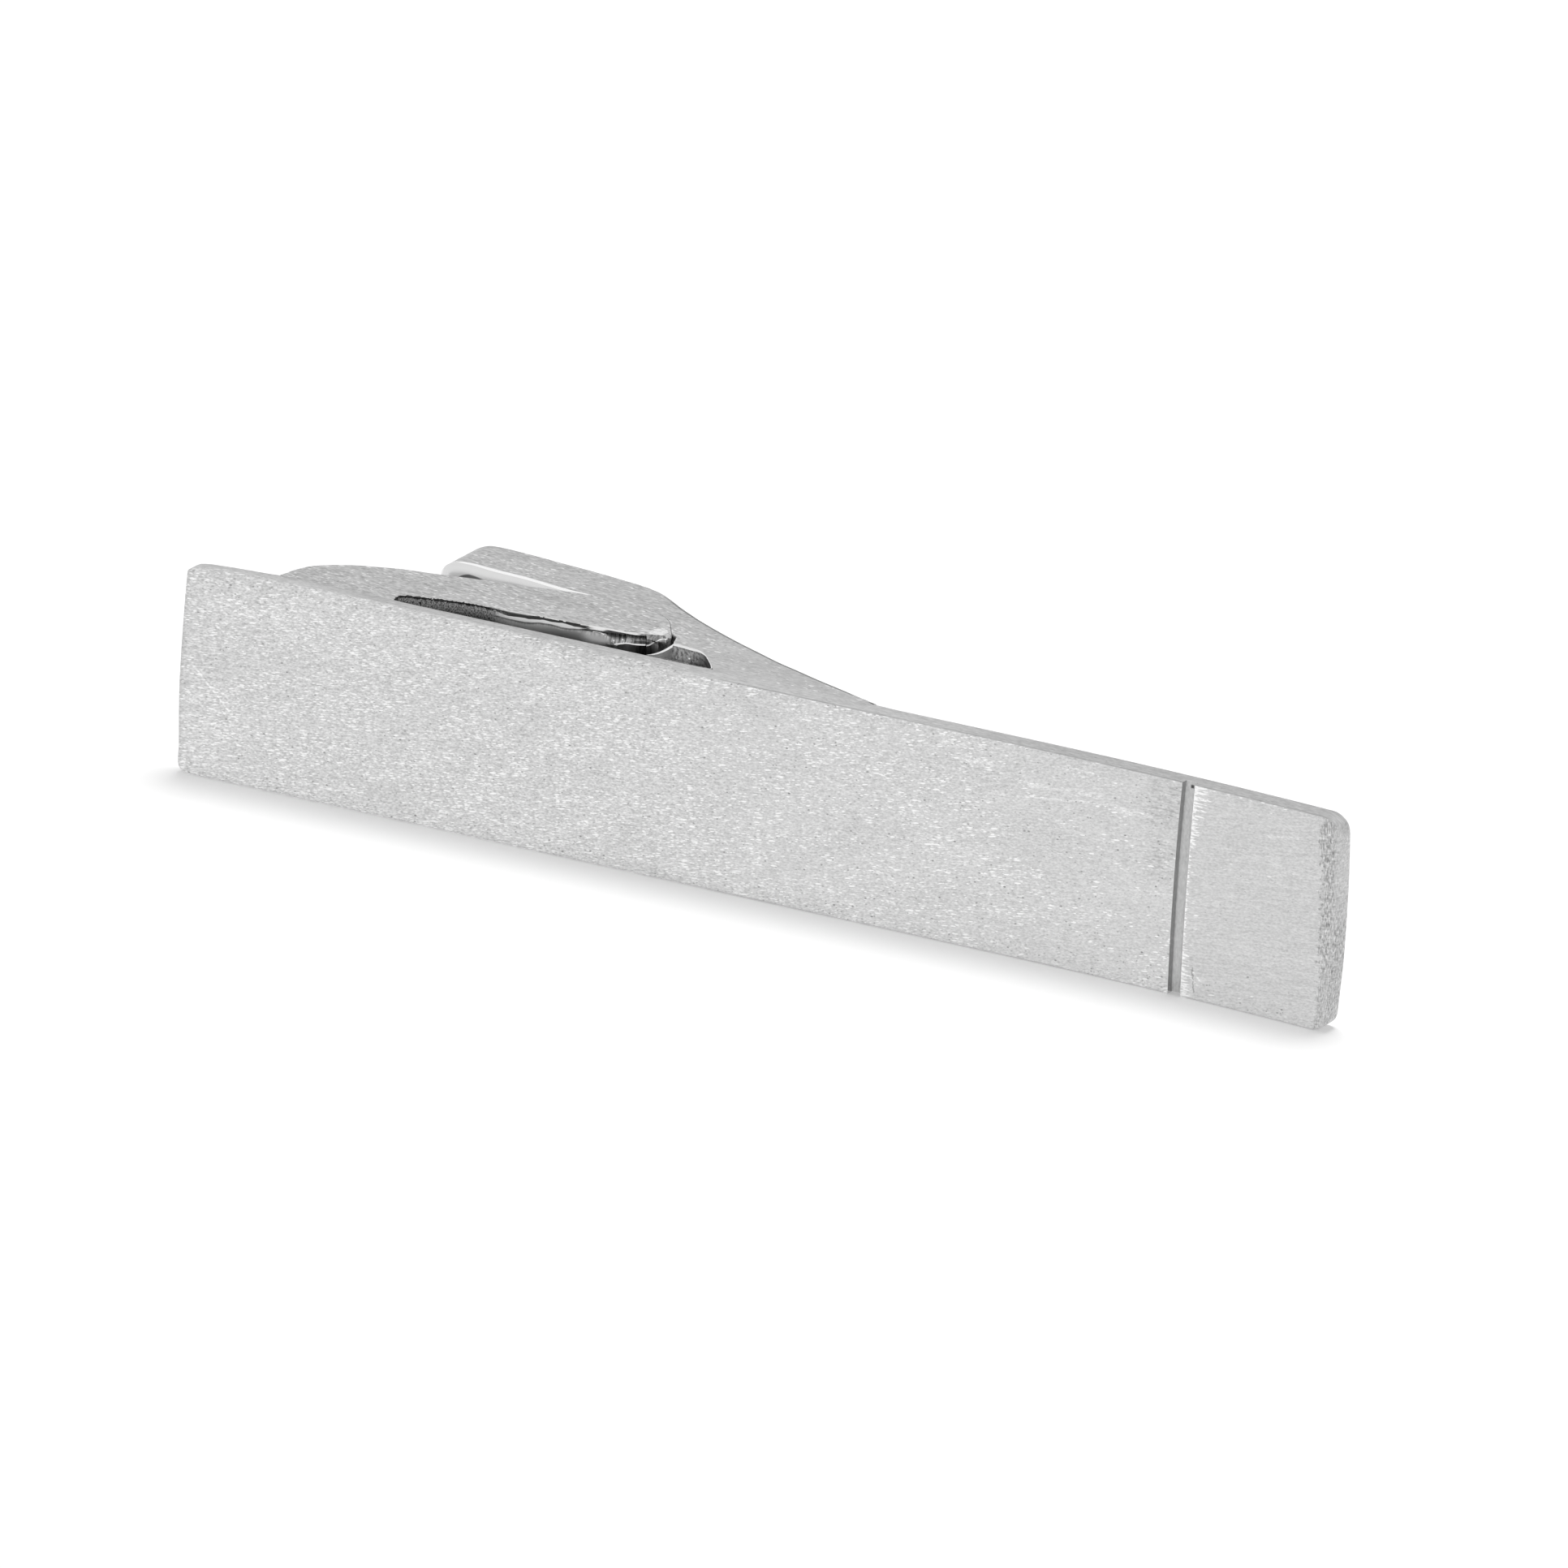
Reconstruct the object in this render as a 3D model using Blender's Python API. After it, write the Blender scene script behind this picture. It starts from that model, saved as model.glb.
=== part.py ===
"""A silver tie bar: a flat bar with a narrow groove across its face and a spring clip behind it.

The bar stands on its long lower edge. +X runs along the bar to the end with the groove, the bar's face
looks towards -Y, and +Z is up. The origin is under the middle of the whole outline, at the lowest surface.
The outlines below are plans seen from above: x is counted from the bar's left end, y from the bar's face.
"""
import math

import bmesh
import bpy
from mathutils import Matrix, Vector

MM = 0.001

# The bar
BAR_LENGTH = 50.0 * MM
BAR_HEIGHT = 8.5 * MM
BAR_THICKNESS = 1.0 * MM
BEND_LENGTH = 14.0 * MM          # the stretch at the right end that bends forward
BEND_FORWARD = 0.68 * MM         # how far the right end comes forward
FACE_EDGE_RADIUS = 0.15 * MM     # upright edge of the face, left end
WORN_EDGE_RADIUS = 0.5 * MM      # upright edge of the face, right end, rubbed round
BACK_EDGE_RADIUS = 0.25 * MM     # upright edges of the back
TOP_LEFT_RADIUS = 0.3 * MM
LOW_LEFT_RADIUS = 0.5 * MM
TOP_RIGHT_RADIUS = 0.5 * MM
LOW_RIGHT_RADIUS = 0.8 * MM
LONG_EDGE_RADIUS = 0.1 * MM      # along every upper and lower edge

# The groove across the face
GROOVE_FROM_END = 6.45 * MM      # right wall of the groove to the bar's right end
GROOVE_WIDTH = 0.55 * MM
GROOVE_DEPTH = 0.33 * MM

# The solder under the two feet
SOLDER_THICKNESS = 0.12 * MM
SOLDER_CLEARANCE = 0.14 * MM
SOLDER_INSET = 0.15 * MM         # how far it stays inside the foot's edges

# The inner tongue
TONGUE_FROM_LEFT = 3.45 * MM     # bar's left end to the foot of the tongue
TONGUE_FOOT_LENGTH = 4.95 * MM
TONGUE_FREE_LENGTH = 10.7 * MM
TONGUE_THICKNESS = 3.3 * MM
TONGUE_TIP_RADIUS = 0.5 * MM
TONGUE_HINGE_OFFSET = 0.9 * MM   # start of the slot to the tongue's bending place
SLOT_TIP_GAP = 2.2 * MM          # bar to tongue, at the tongue's tip

# The outer arm
CONTACT_GAP = 0.3 * MM           # tongue to arm, where they hold the cloth
MOUTH_GAP = 2.05 * MM            # tongue to arm, where the cloth goes in
MOUTH_LENGTH = 6.6 * MM          # arm's lip to the place where it meets the tongue
ARM_THICKNESS = 2.55 * MM
LIP_HEIGHT_RADIUS = 1.2 * MM     # upper and lower corner of the lip
LIP_EDGE_RADIUS = 0.5 * MM       # upright edges of the lip
THROAT_CLEARANCE = 0.75 * MM     # tongue's tip to the wall of the arm's foot
POCKET_LENGTH = 2.45 * MM        # throat to the place where arm and bar meet
POCKET_HEIGHT = 1.88 * MM
ARM_FOOT_LENGTH = 7.2 * MM
ARM_HINGE_LEAN = 1.25 * MM       # how far the arm's bending place leans, from throat to back
FOOT_EDGE = 0.1 * MM             # thickness left at the thin end of the arm's foot

# The hollow in the top of the arm's solder
HOLLOW_WALL = 0.16 * MM
HOLLOW_DEPTH = 0.9 * MM

# Room at the two bending places, and how far a cutter runs past what it cuts
SPLIT_GAP = 0.3 * MM
OVERRUN = 1.0 * MM
WELD_DISTANCE = 0.001 * MM

# Outlines, as shares of the sizes above
FOOT_SHARES = ((0.0, 0.0), (0.02, 0.25), (0.08, 0.46), (0.25, 0.68), (0.52, 0.86), (0.8, 0.965))
SLOT_SHARES = ((0.0, 0.08), (0.07, 0.27), (0.16, 0.43), (0.25, 0.54), (0.43, 0.66), (0.68, 0.77),
               (0.81, 0.87), (1.0, 1.0))
TONGUE_SHARES = ((0.0, 1.02), (0.1, 0.99), (0.28, 0.98), (0.46, 1.03), (0.6, 1.055), (0.69, 1.05),
                 (0.79, 0.955), (0.88, 0.76), (0.95, 0.42), (1.0, 0.06))
CONTACT_START_SHARE = 0.51       # where the arm meets the tongue, along the tongue's free length
MOUTH_SHARES = ((1.0, 1.04), (0.885, 1.02), (0.8, 0.99), (0.63, 0.7), (0.41, 0.47), (0.21, 0.17), (0.0, 0.0))
ARM_SHARES = ((0.0, 0.99), (0.25, 1.02), (0.5, 1.02), (0.75, 1.02), (0.9, 0.98), (1.0, 0.9))
ARM_BEND_SHARE = 0.655           # where the arm's back starts to slope, along the tongue's free length
ARM_BEND_THICKNESS_SHARE = 0.8
SLOPE_SHARES = ((0.0, 1.0), (0.058, 0.952), (0.16, 0.804), (0.26, 0.673), (0.43, 0.475), (0.6, 0.314),
                (0.76, 0.185), (0.91, 0.07), (1.0, 0.01))
POCKET_SHARES = ((0.0, 0.98), (0.27, 0.96), (0.45, 0.86), (0.6, 0.7), (0.75, 0.5), (0.92, 0.26))

# Fineness
CURVE_STEPS = 3
ARC_STEPS = 5
BEND_STEPS = 8
EDGE_STEPS = 1
SHARP_ANGLE = math.radians(35)

# Finish
SILVER = (0.78, 0.78, 0.77, 1.0)
SOLDER_GREY = (0.62, 0.62, 0.61, 1.0)
BRUSHED_ROUGHNESS = 0.4
SOLDER_ROUGHNESS = 0.55
METALLIC = 1.0

# Places that follow from the sizes
SEAM = SOLDER_THICKNESS + 2 * SOLDER_CLEARANCE
SEAT = BAR_THICKNESS + SEAM
SLOT_START = TONGUE_FROM_LEFT + TONGUE_FOOT_LENGTH
TONGUE_TIP = SLOT_START + TONGUE_FREE_LENGTH
CONTACT_START = SLOT_START + CONTACT_START_SHARE * TONGUE_FREE_LENGTH
ARM_LIP = CONTACT_START - MOUTH_LENGTH
ARM_BEND = SLOT_START + ARM_BEND_SHARE * TONGUE_FREE_LENGTH
THROAT = TONGUE_TIP + THROAT_CLEARANCE
ARM_FOOT_START = THROAT + POCKET_LENGTH
ARM_FOOT_END = ARM_FOOT_START + ARM_FOOT_LENGTH


def clear_scene():
    """Remove whatever the scene holds."""
    for thing in list(bpy.context.scene.objects):
        bpy.data.objects.remove(thing, do_unlink=True)


def new_collection(name):
    """Return a new collection in the scene."""
    collection = bpy.data.collections.new(name)
    bpy.context.scene.collection.children.link(collection)
    return collection


def metal(name, colour, roughness):
    """Return a plain metal material."""
    material = bpy.data.materials.new(name)
    material.use_nodes = True
    shader = material.node_tree.nodes["Principled BSDF"]
    shader.inputs["Base Color"].default_value = colour
    shader.inputs["Roughness"].default_value = roughness
    shader.inputs["Metallic"].default_value = METALLIC
    return material


def smooth_line(points):
    """Return a smooth curve through the points."""
    row = [2 * points[0] - points[1], *points, 2 * points[-1] - points[-2]]
    line = [points[0]]
    for before, start, end, after in zip(row, row[1:], row[2:], row[3:]):
        span = (end - start).length
        leaving = (end - before) * span / ((start - before).length + span)
        arriving = (after - start) * span / (span + (after - end).length)
        for step in range(1, CURVE_STEPS + 1):
            t = step / CURVE_STEPS
            rise = t * t * (3 - 2 * t)
            line.append(start.lerp(end, rise) + leaving * t * (1 - t) ** 2 - arriving * t * t * (1 - t))
    return line


def turned(vector, angle):
    """Return a plan vector turned to the left by an angle."""
    cos, sin = math.cos(angle), math.sin(angle)
    return Vector((vector.x * cos - vector.y * sin, vector.x * sin + vector.y * cos))


def round_corner(before, corner, after, radius):
    """Return the arc that rounds a corner of an outline."""
    into = (corner - before).normalized()
    out = (after - corner).normalized()
    turn = math.atan2(into.cross(out), into.dot(out))
    start = corner - into * radius * math.tan(abs(turn) / 2)
    centre = start + turned(into, math.copysign(math.pi / 2, turn)) * radius
    return [centre + turned(start - centre, turn * step / ARC_STEPS) for step in range(ARC_STEPS + 1)]


def height_at(line, x):
    """Return a line's y at x. The line runs towards +X there."""
    if x <= line[0].x:
        return line[0].y
    for start, end in zip(line, line[1:]):
        if start.x <= x <= end.x:
            return start.lerp(end, (x - start.x) / (end.x - start.x)).y
    return line[-1].y


def clip(outline, place, direction):
    """Return the part of an outline that lies behind a straight cut through a place."""
    kept = []
    for start, end in zip(outline, outline[1:] + outline[:1]):
        start_side = (start - place).dot(direction)
        end_side = (end - place).dot(direction)
        if start_side <= 0:
            kept.append(start)
        if start_side * end_side < 0:
            kept.append(start.lerp(end, start_side / (start_side - end_side)))
    return kept


def face_y(x):
    """Return where the bar's face lies: flat, then bent forward towards the right end."""
    past = max(0.0, x - (BAR_LENGTH - BEND_LENGTH)) / BEND_LENGTH
    return -BEND_FORWARD * past * past


def bar_outline():
    """Return the plan of the bar."""
    bend = [BAR_LENGTH - BEND_LENGTH * (1 - step / BEND_STEPS) for step in range(BEND_STEPS)]
    face = [Vector((x, face_y(x))) for x in bend]
    back = [Vector((x, face_y(x) + BAR_THICKNESS)) for x in reversed(bend)]
    left_face = Vector((0.0, 0.0))
    left_back = Vector((0.0, BAR_THICKNESS))
    right_face = Vector((BAR_LENGTH, face_y(BAR_LENGTH)))
    right_back = Vector((BAR_LENGTH, face_y(BAR_LENGTH) + BAR_THICKNESS))
    return [
        *round_corner(left_back, left_face, face[0], FACE_EDGE_RADIUS),
        *face,
        *round_corner(face[-1], right_face, right_back, WORN_EDGE_RADIUS),
        *round_corner(right_face, right_back, back[0], BACK_EDGE_RADIUS),
        *back,
        *round_corner(back[-1], left_back, left_face, BACK_EDGE_RADIUS),
    ]


def slot_side(share, gap_share):
    """Return a place on the tongue's side of the slot."""
    return Vector((SLOT_START + share * TONGUE_FREE_LENGTH, SEAT + gap_share * (SLOT_TIP_GAP - SEAM)))


def tongue_lines():
    """Return the tongue's two long sides, both from its foot to its tip."""
    inner = smooth_line([slot_side(*shares) for shares in SLOT_SHARES])
    outer_points = []
    for share, thickness_share in TONGUE_SHARES:
        x = SLOT_START + share * TONGUE_FREE_LENGTH
        outer_points.append(Vector((x, height_at(inner, x) + thickness_share * TONGUE_THICKNESS)))
    rise = outer_points[0].y - SEAT
    foot = [Vector((TONGUE_FROM_LEFT + share * TONGUE_FOOT_LENGTH, SEAT + rise_share * rise))
            for share, rise_share in FOOT_SHARES]
    return inner, smooth_line(foot + outer_points)


def contact_line(outer):
    """Return the arm's side where it lies along the tongue and round its tip."""
    line = []
    for before, place, after in zip(outer, outer[1:], outer[2:] + outer[-1:]):
        if place.x >= CONTACT_START:
            line.append(place + turned((after - before).normalized(), math.pi / 2) * CONTACT_GAP)
    return line


def arm_lines(outer):
    """Return the arm's inner side, from lip to foot, and its back, from foot to lip."""
    contact = contact_line(outer)
    mouth = []
    for share, gap_share in MOUTH_SHARES:
        x = CONTACT_START - share * MOUTH_LENGTH
        gap = CONTACT_GAP + gap_share * (MOUTH_GAP - CONTACT_GAP)
        mouth.append(Vector((x, height_at(outer, x) + gap)))
    mouth = smooth_line(mouth)
    pocket = [Vector((THROAT + share * POCKET_LENGTH, BAR_THICKNESS + height_share * POCKET_HEIGHT))
              for share, height_share in POCKET_SHARES]
    pocket = [place for place in smooth_line(pocket) if place.y > SEAT]
    inner = mouth + [place for place in contact if place.x > mouth[-1].x] + pocket

    bend_height = height_at(mouth + contact, ARM_BEND) + ARM_BEND_THICKNESS_SHARE * ARM_THICKNESS
    slope = []
    for share, height_share in reversed(SLOPE_SHARES):
        x = ARM_BEND + share * (ARM_FOOT_END - ARM_BEND)
        slope.append(Vector((x, BAR_THICKNESS + height_share * (bend_height - BAR_THICKNESS))))
    top = []
    for share, thickness_share in ARM_SHARES:
        x = CONTACT_START - share * MOUTH_LENGTH
        top.append(Vector((x, height_at(mouth, x) + thickness_share * ARM_THICKNESS)))
    back = [place for place in smooth_line(slope + top) if place.y > SEAT + FOOT_EDGE]
    return inner, back


def arm_outline(inner, back):
    """Return the plan of the whole arm, with its foot."""
    inner_arc = round_corner(back[-1], inner[0], inner[1], LIP_EDGE_RADIUS)
    back_arc = round_corner(back[-2], back[-1], inner[0], LIP_EDGE_RADIUS)
    return [
        *inner_arc,
        *[place for place in inner if place.x > inner_arc[-1].x],
        Vector((ARM_FOOT_START, SEAT)),
        Vector((back[0].x, SEAT)),
        *[place for place in back if place.x > back_arc[0].x],
        *back_arc,
    ]


def tongue_solder_outline():
    """Return the plan of the tongue's solder, a thin film under its foot."""
    low = BAR_THICKNESS + SOLDER_CLEARANCE
    high = low + SOLDER_THICKNESS
    left = TONGUE_FROM_LEFT + SOLDER_INSET
    right = SLOT_START - SOLDER_INSET
    return [Vector((left, low)), Vector((right, low)), Vector((right, high)), Vector((left, high))]


def arm_solder_outline():
    """Return the plan of the arm's solder: a film under the foot, and the fill of the slot's end."""
    low = BAR_THICKNESS + SOLDER_CLEARANCE
    high = low + SOLDER_THICKNESS
    fill = []
    for share, height_share in POCKET_SHARES:
        x = THROAT + share * POCKET_LENGTH - SOLDER_CLEARANCE
        fill.append(Vector((x, max(high, BAR_THICKNESS + height_share * POCKET_HEIGHT - SOLDER_CLEARANCE))))
    film_end = ARM_FOOT_END - SOLDER_INSET
    film = [Vector((film_end, low)), Vector((film_end, high)), Vector((ARM_FOOT_START, high))]
    return [Vector((fill[0].x, low)), *film, *reversed(fill)]


def hollow_outline():
    """Return the plan of the hollow in the top of the arm's solder."""
    low = BAR_THICKNESS + SOLDER_CLEARANCE + HOLLOW_WALL
    rim = []
    for share, height_share in POCKET_SHARES:
        place = Vector((THROAT + share * POCKET_LENGTH - SOLDER_CLEARANCE,
                        BAR_THICKNESS + height_share * POCKET_HEIGHT - SOLDER_CLEARANCE - HOLLOW_WALL))
        if place.y > low:
            rim.append(place)
    rim[0].x += HOLLOW_WALL
    return [Vector((rim[0].x, low)), Vector((rim[-1].x, low)), *reversed(rim)]


def outline_mesh(name, outline, low, high, edge_radius=0.0):
    """Return a closed mesh made by raising an outline from low to high, with its long edges rounded."""
    curve = bpy.data.curves.new(name, "CURVE")
    curve.dimensions = "2D"
    curve.fill_mode = "BOTH"
    curve.extrude = (high - low) / 2 - edge_radius
    curve.offset = -edge_radius
    curve.bevel_depth = edge_radius
    curve.bevel_resolution = EDGE_STEPS
    spline = curve.splines.new("POLY")
    spline.points.add(len(outline) - 1)
    for point, place in zip(spline.points, outline):
        point.co = (place.x, place.y, 0.0, 1.0)
    spline.use_cyclic_u = True
    drawn = bpy.data.objects.new(name + "_outline", curve)
    bpy.context.scene.collection.objects.link(drawn)
    bpy.context.view_layer.update()
    mesh = bpy.data.meshes.new_from_object(drawn.evaluated_get(bpy.context.evaluated_depsgraph_get()))
    bpy.data.objects.remove(drawn, do_unlink=True)
    mesh.name = name
    mesh.transform(Matrix.Translation((0.0, 0.0, (low + high) / 2)))
    return mesh


def close_mesh(mesh):
    """Weld a mesh's seams, turn its faces outwards and smooth its curved sides."""
    welded = bmesh.new()
    welded.from_mesh(mesh)
    bmesh.ops.remove_doubles(welded, verts=welded.verts, dist=WELD_DISTANCE)
    bmesh.ops.recalc_face_normals(welded, faces=welded.faces)
    welded.to_mesh(mesh)
    welded.free()
    mesh.shade_smooth()
    mesh.set_sharp_from_angle(angle=SHARP_ANGLE)


def plan_solid(name, outline, low, high, edge_radius=0.0, pivot=Vector((0.0, 0.0))):
    """Return an upright solid with a given plan. Its own origin lies on the pivot's axis."""
    mesh = outline_mesh(name, outline, low, high, edge_radius)
    mesh.transform(Matrix.Translation((-pivot.x, -pivot.y, 0.0)))
    close_mesh(mesh)
    return bpy.data.objects.new(name, mesh)


def corner_cutter(name, end_x, side, up, radius, pivot):
    """Return a cutter that rounds the upper or lower corner of an end, seen from the front.

    side is 1 for an end that looks to the right, and -1 to the left. up is 1 for its upper corner, and -1
    for its lower one.
    """
    level = BAR_HEIGHT if up > 0 else 0.0
    outline = []
    for step in range(ARC_STEPS + 1):
        angle = math.pi / 2 * step / ARC_STEPS
        x = end_x - side * radius * (1 - math.cos(angle))
        outline.append(Vector((x, level - up * radius * (1 - math.sin(angle)))))
    outline.append(Vector((end_x - side * radius, level + up * OVERRUN)))
    outline.append(Vector((end_x + side * OVERRUN, level + up * OVERRUN)))
    outline.append(Vector((end_x + side * OVERRUN, level - up * radius)))
    front = face_y(BAR_LENGTH) - OVERRUN
    back = SEAT + SLOT_TIP_GAP + TONGUE_THICKNESS + MOUTH_GAP + ARM_THICKNESS + OVERRUN
    mesh = outline_mesh(name, outline, front, back)
    # The outline is drawn flat, then stood up: its y becomes height, and its own height runs back.
    mesh.transform(Matrix(((1, 0, 0, -pivot.x), (0, 0, 1, -pivot.y), (0, 1, 0, 0), (0, 0, 0, 1))))
    close_mesh(mesh)
    return bpy.data.objects.new(name, mesh)


def groove_cutter():
    """Return the cutter for the groove across the face."""
    right = BAR_LENGTH - GROOVE_FROM_END
    left = right - GROOVE_WIDTH
    floor = face_y(left) + GROOVE_DEPTH
    front = face_y(BAR_LENGTH) - OVERRUN
    mesh = bpy.data.meshes.new("groove_cutter")
    box = bmesh.new()
    bmesh.ops.create_cube(box, size=1)
    box.to_mesh(mesh)
    box.free()
    mesh.transform(Matrix.Diagonal((GROOVE_WIDTH, floor - front, BAR_HEIGHT + 2 * OVERRUN, 1)))
    mesh.transform(Matrix.Translation(((left + right) / 2, (floor + front) / 2, BAR_HEIGHT / 2)))
    return bpy.data.objects.new("groove_cutter", mesh)


def cut(collection, part, cutter):
    """Cut a cutter out of a part. The cutter stays in the file as a wire guide."""
    cutter.parent = part.parent
    cutter.hide_render = True
    cutter.display_type = "WIRE"
    collection.objects.link(cutter)
    modifier = part.modifiers.new(cutter.name, "BOOLEAN")
    modifier.operation = "DIFFERENCE"
    modifier.object = cutter


def add_part(collection, thing, material, parent):
    """Put a part in the model."""
    thing.data.materials.append(material)
    thing.parent = parent
    collection.objects.link(thing)


def add_hinge(collection, name, place, parent):
    """Put an empty on a hinge's upright axis."""
    empty = bpy.data.objects.new(name, None)
    empty.location = (place.x, place.y, 0.0)
    empty.parent = parent
    collection.objects.link(empty)
    return empty


def add_bar(parts, cutters, material, base):
    """Add the bar, with its groove and its rounded corners."""
    face_plate = plan_solid("face_plate", bar_outline(), 0.0, BAR_HEIGHT, LONG_EDGE_RADIUS)
    add_part(parts, face_plate, material, base)
    cut(cutters, face_plate, groove_cutter())
    corners = (("low_left", 0.0, -1, -1, LOW_LEFT_RADIUS),
               ("top_left", 0.0, -1, 1, TOP_LEFT_RADIUS),
               ("low_right", BAR_LENGTH, 1, -1, LOW_RIGHT_RADIUS),
               ("top_right", BAR_LENGTH, 1, 1, TOP_RIGHT_RADIUS))
    for name, end_x, side, up, radius in corners:
        cut(cutters, face_plate, corner_cutter(name, end_x, side, up, radius, Vector((0.0, 0.0))))


def add_tongue(parts, cutters, material, base, inner, outer):
    """Add the tongue: its foot stays with the bar, and the rest turns about an axis near the slot's start."""
    outline = [Vector((TONGUE_FROM_LEFT, SEAT)), Vector((SLOT_START, SEAT)), *inner, *reversed(outer[1:])]
    hinge_x = SLOT_START + TONGUE_HINGE_OFFSET
    hinge = Vector((hinge_x, (height_at(inner, hinge_x) + height_at(outer, hinge_x)) / 2))
    along = Vector((1.0, 0.0))
    foot = clip(outline, hinge - along * SPLIT_GAP / 2, along)
    free = clip(outline, hinge + along * SPLIT_GAP / 2, -along)
    add_part(parts, plan_solid("tongue_root", foot, 0.0, BAR_HEIGHT), material, base)
    spring_tongue = plan_solid("spring_tongue", free, 0.0, BAR_HEIGHT, pivot=hinge)
    add_part(parts, spring_tongue, material, add_hinge(parts, "tongue_hinge", hinge, base))
    for name, up in (("tongue_low", -1), ("tongue_top", 1)):
        cut(cutters, spring_tongue, corner_cutter(name, TONGUE_TIP, 1, up, TONGUE_TIP_RADIUS, hinge))


def add_arm(parts, cutters, material, base, inner, back):
    """Add the arm: its foot stays with the bar, and the rest turns about an axis beside the slot's end."""
    outline = arm_outline(inner, back)
    throat = Vector((THROAT, BAR_THICKNESS + POCKET_SHARES[0][1] * POCKET_HEIGHT))
    back_x = throat.x + ARM_HINGE_LEAN
    back_side = Vector((back_x, height_at(back[::-1], back_x)))
    hinge = (throat + back_side) / 2
    along = turned((back_side - throat).normalized(), -math.pi / 2)
    foot = clip(outline, hinge + along * SPLIT_GAP / 2, -along)
    free = clip(outline, hinge - along * SPLIT_GAP / 2, along)
    add_part(parts, plan_solid("arm_root", foot, 0.0, BAR_HEIGHT), material, base)
    spring_arm = plan_solid("spring_arm", free, 0.0, BAR_HEIGHT, pivot=hinge)
    add_part(parts, spring_arm, material, add_hinge(parts, "arm_hinge", hinge, base))
    for name, up in (("lip_low", -1), ("lip_top", 1)):
        cut(cutters, spring_arm, corner_cutter(name, ARM_LIP, -1, up, LIP_HEIGHT_RADIUS, hinge))


def add_solder(parts, cutters, material, base):
    """Add the solder under the two feet."""
    top = BAR_HEIGHT - SOLDER_INSET
    add_part(parts, plan_solid("tongue_solder", tongue_solder_outline(), SOLDER_INSET, top), material, base)
    arm_solder = plan_solid("arm_solder", arm_solder_outline(), SOLDER_INSET, top)
    add_part(parts, arm_solder, material, base)
    cut(cutters, arm_solder, plan_solid("solder_hollow", hollow_outline(), top - HOLLOW_DEPTH, top + OVERRUN))


def build():
    """Build the whole tie bar."""
    clear_scene()
    parts = new_collection("tie_bar")
    cutters = new_collection("cutters")
    silver = metal("brushed_silver", SILVER, BRUSHED_ROUGHNESS)
    solder = metal("silver_solder", SOLDER_GREY, SOLDER_ROUGHNESS)
    tongue_inner, tongue_outer = tongue_lines()
    arm_inner, arm_back = arm_lines(tongue_outer)

    depths = [place.y for place in bar_outline() + arm_outline(arm_inner, arm_back)]
    base = bpy.data.objects.new("tie_bar_base", None)
    base.location = (-BAR_LENGTH / 2, -(min(depths) + max(depths)) / 2, 0.0)
    parts.objects.link(base)

    add_bar(parts, cutters, silver, base)
    add_tongue(parts, cutters, silver, base, tongue_inner, tongue_outer)
    add_arm(parts, cutters, silver, base, arm_inner, arm_back)
    add_solder(parts, cutters, solder, base)


build()
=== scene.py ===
"""Looks for the silver tie bar: the bar, its tongue, its arm and the solder, brushed and polished.

Plans are seen from above, in millimetres: x is counted from the bar's left end, y back from the bar's
face and z up from its lower edge.
"""

import math
import random

import bmesh
import bpy
from mathutils import Matrix, Vector


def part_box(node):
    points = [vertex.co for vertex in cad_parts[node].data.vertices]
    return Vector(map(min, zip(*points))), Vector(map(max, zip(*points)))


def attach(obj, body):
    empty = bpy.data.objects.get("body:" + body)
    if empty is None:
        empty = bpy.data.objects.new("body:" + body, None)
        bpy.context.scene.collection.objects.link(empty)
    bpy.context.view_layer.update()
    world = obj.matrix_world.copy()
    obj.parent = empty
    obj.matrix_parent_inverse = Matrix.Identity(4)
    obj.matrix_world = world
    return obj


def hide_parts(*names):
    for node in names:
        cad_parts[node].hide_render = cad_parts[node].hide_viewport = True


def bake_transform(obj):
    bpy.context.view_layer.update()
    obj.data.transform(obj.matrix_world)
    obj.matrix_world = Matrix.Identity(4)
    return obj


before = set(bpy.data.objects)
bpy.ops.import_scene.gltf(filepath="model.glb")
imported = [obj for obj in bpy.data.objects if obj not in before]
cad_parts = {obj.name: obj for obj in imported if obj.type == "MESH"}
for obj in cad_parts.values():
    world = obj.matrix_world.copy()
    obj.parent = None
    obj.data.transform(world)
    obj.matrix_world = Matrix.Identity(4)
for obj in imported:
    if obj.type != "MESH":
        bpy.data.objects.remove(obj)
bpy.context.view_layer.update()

MM = 0.001

# The bar
LENGTH = 50.0
HEIGHT = 8.5
MIDDLE = HEIGHT / 2
THICKNESS = 1.0
BEND_START = 36.0
BEND_FORWARD = 0.68
BACK_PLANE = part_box("face_plate")[1].y / MM
BASE = Vector((-LENGTH / 2, BACK_PLANE - THICKNESS, 0.0))

# Rounding of the bar's ends: upright face edge, upright back edge, upper corner, lower corner
LEFT_END = (0.1, 0.15, 0.0, 0.45)
RIGHT_END = (0.42, 0.25, 0.85, 0.75)
END_STEPS = (0.0, 0.008, 0.03, 0.07, 0.12, 0.18, 0.25, 0.33, 0.42, 0.55, 0.7, 0.85)
END_REACH = 1.0
STATION_STEP = 0.5
FACE_ROWS = 16
EDGE_ROWS = 2
ARC_STEPS = 4

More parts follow.
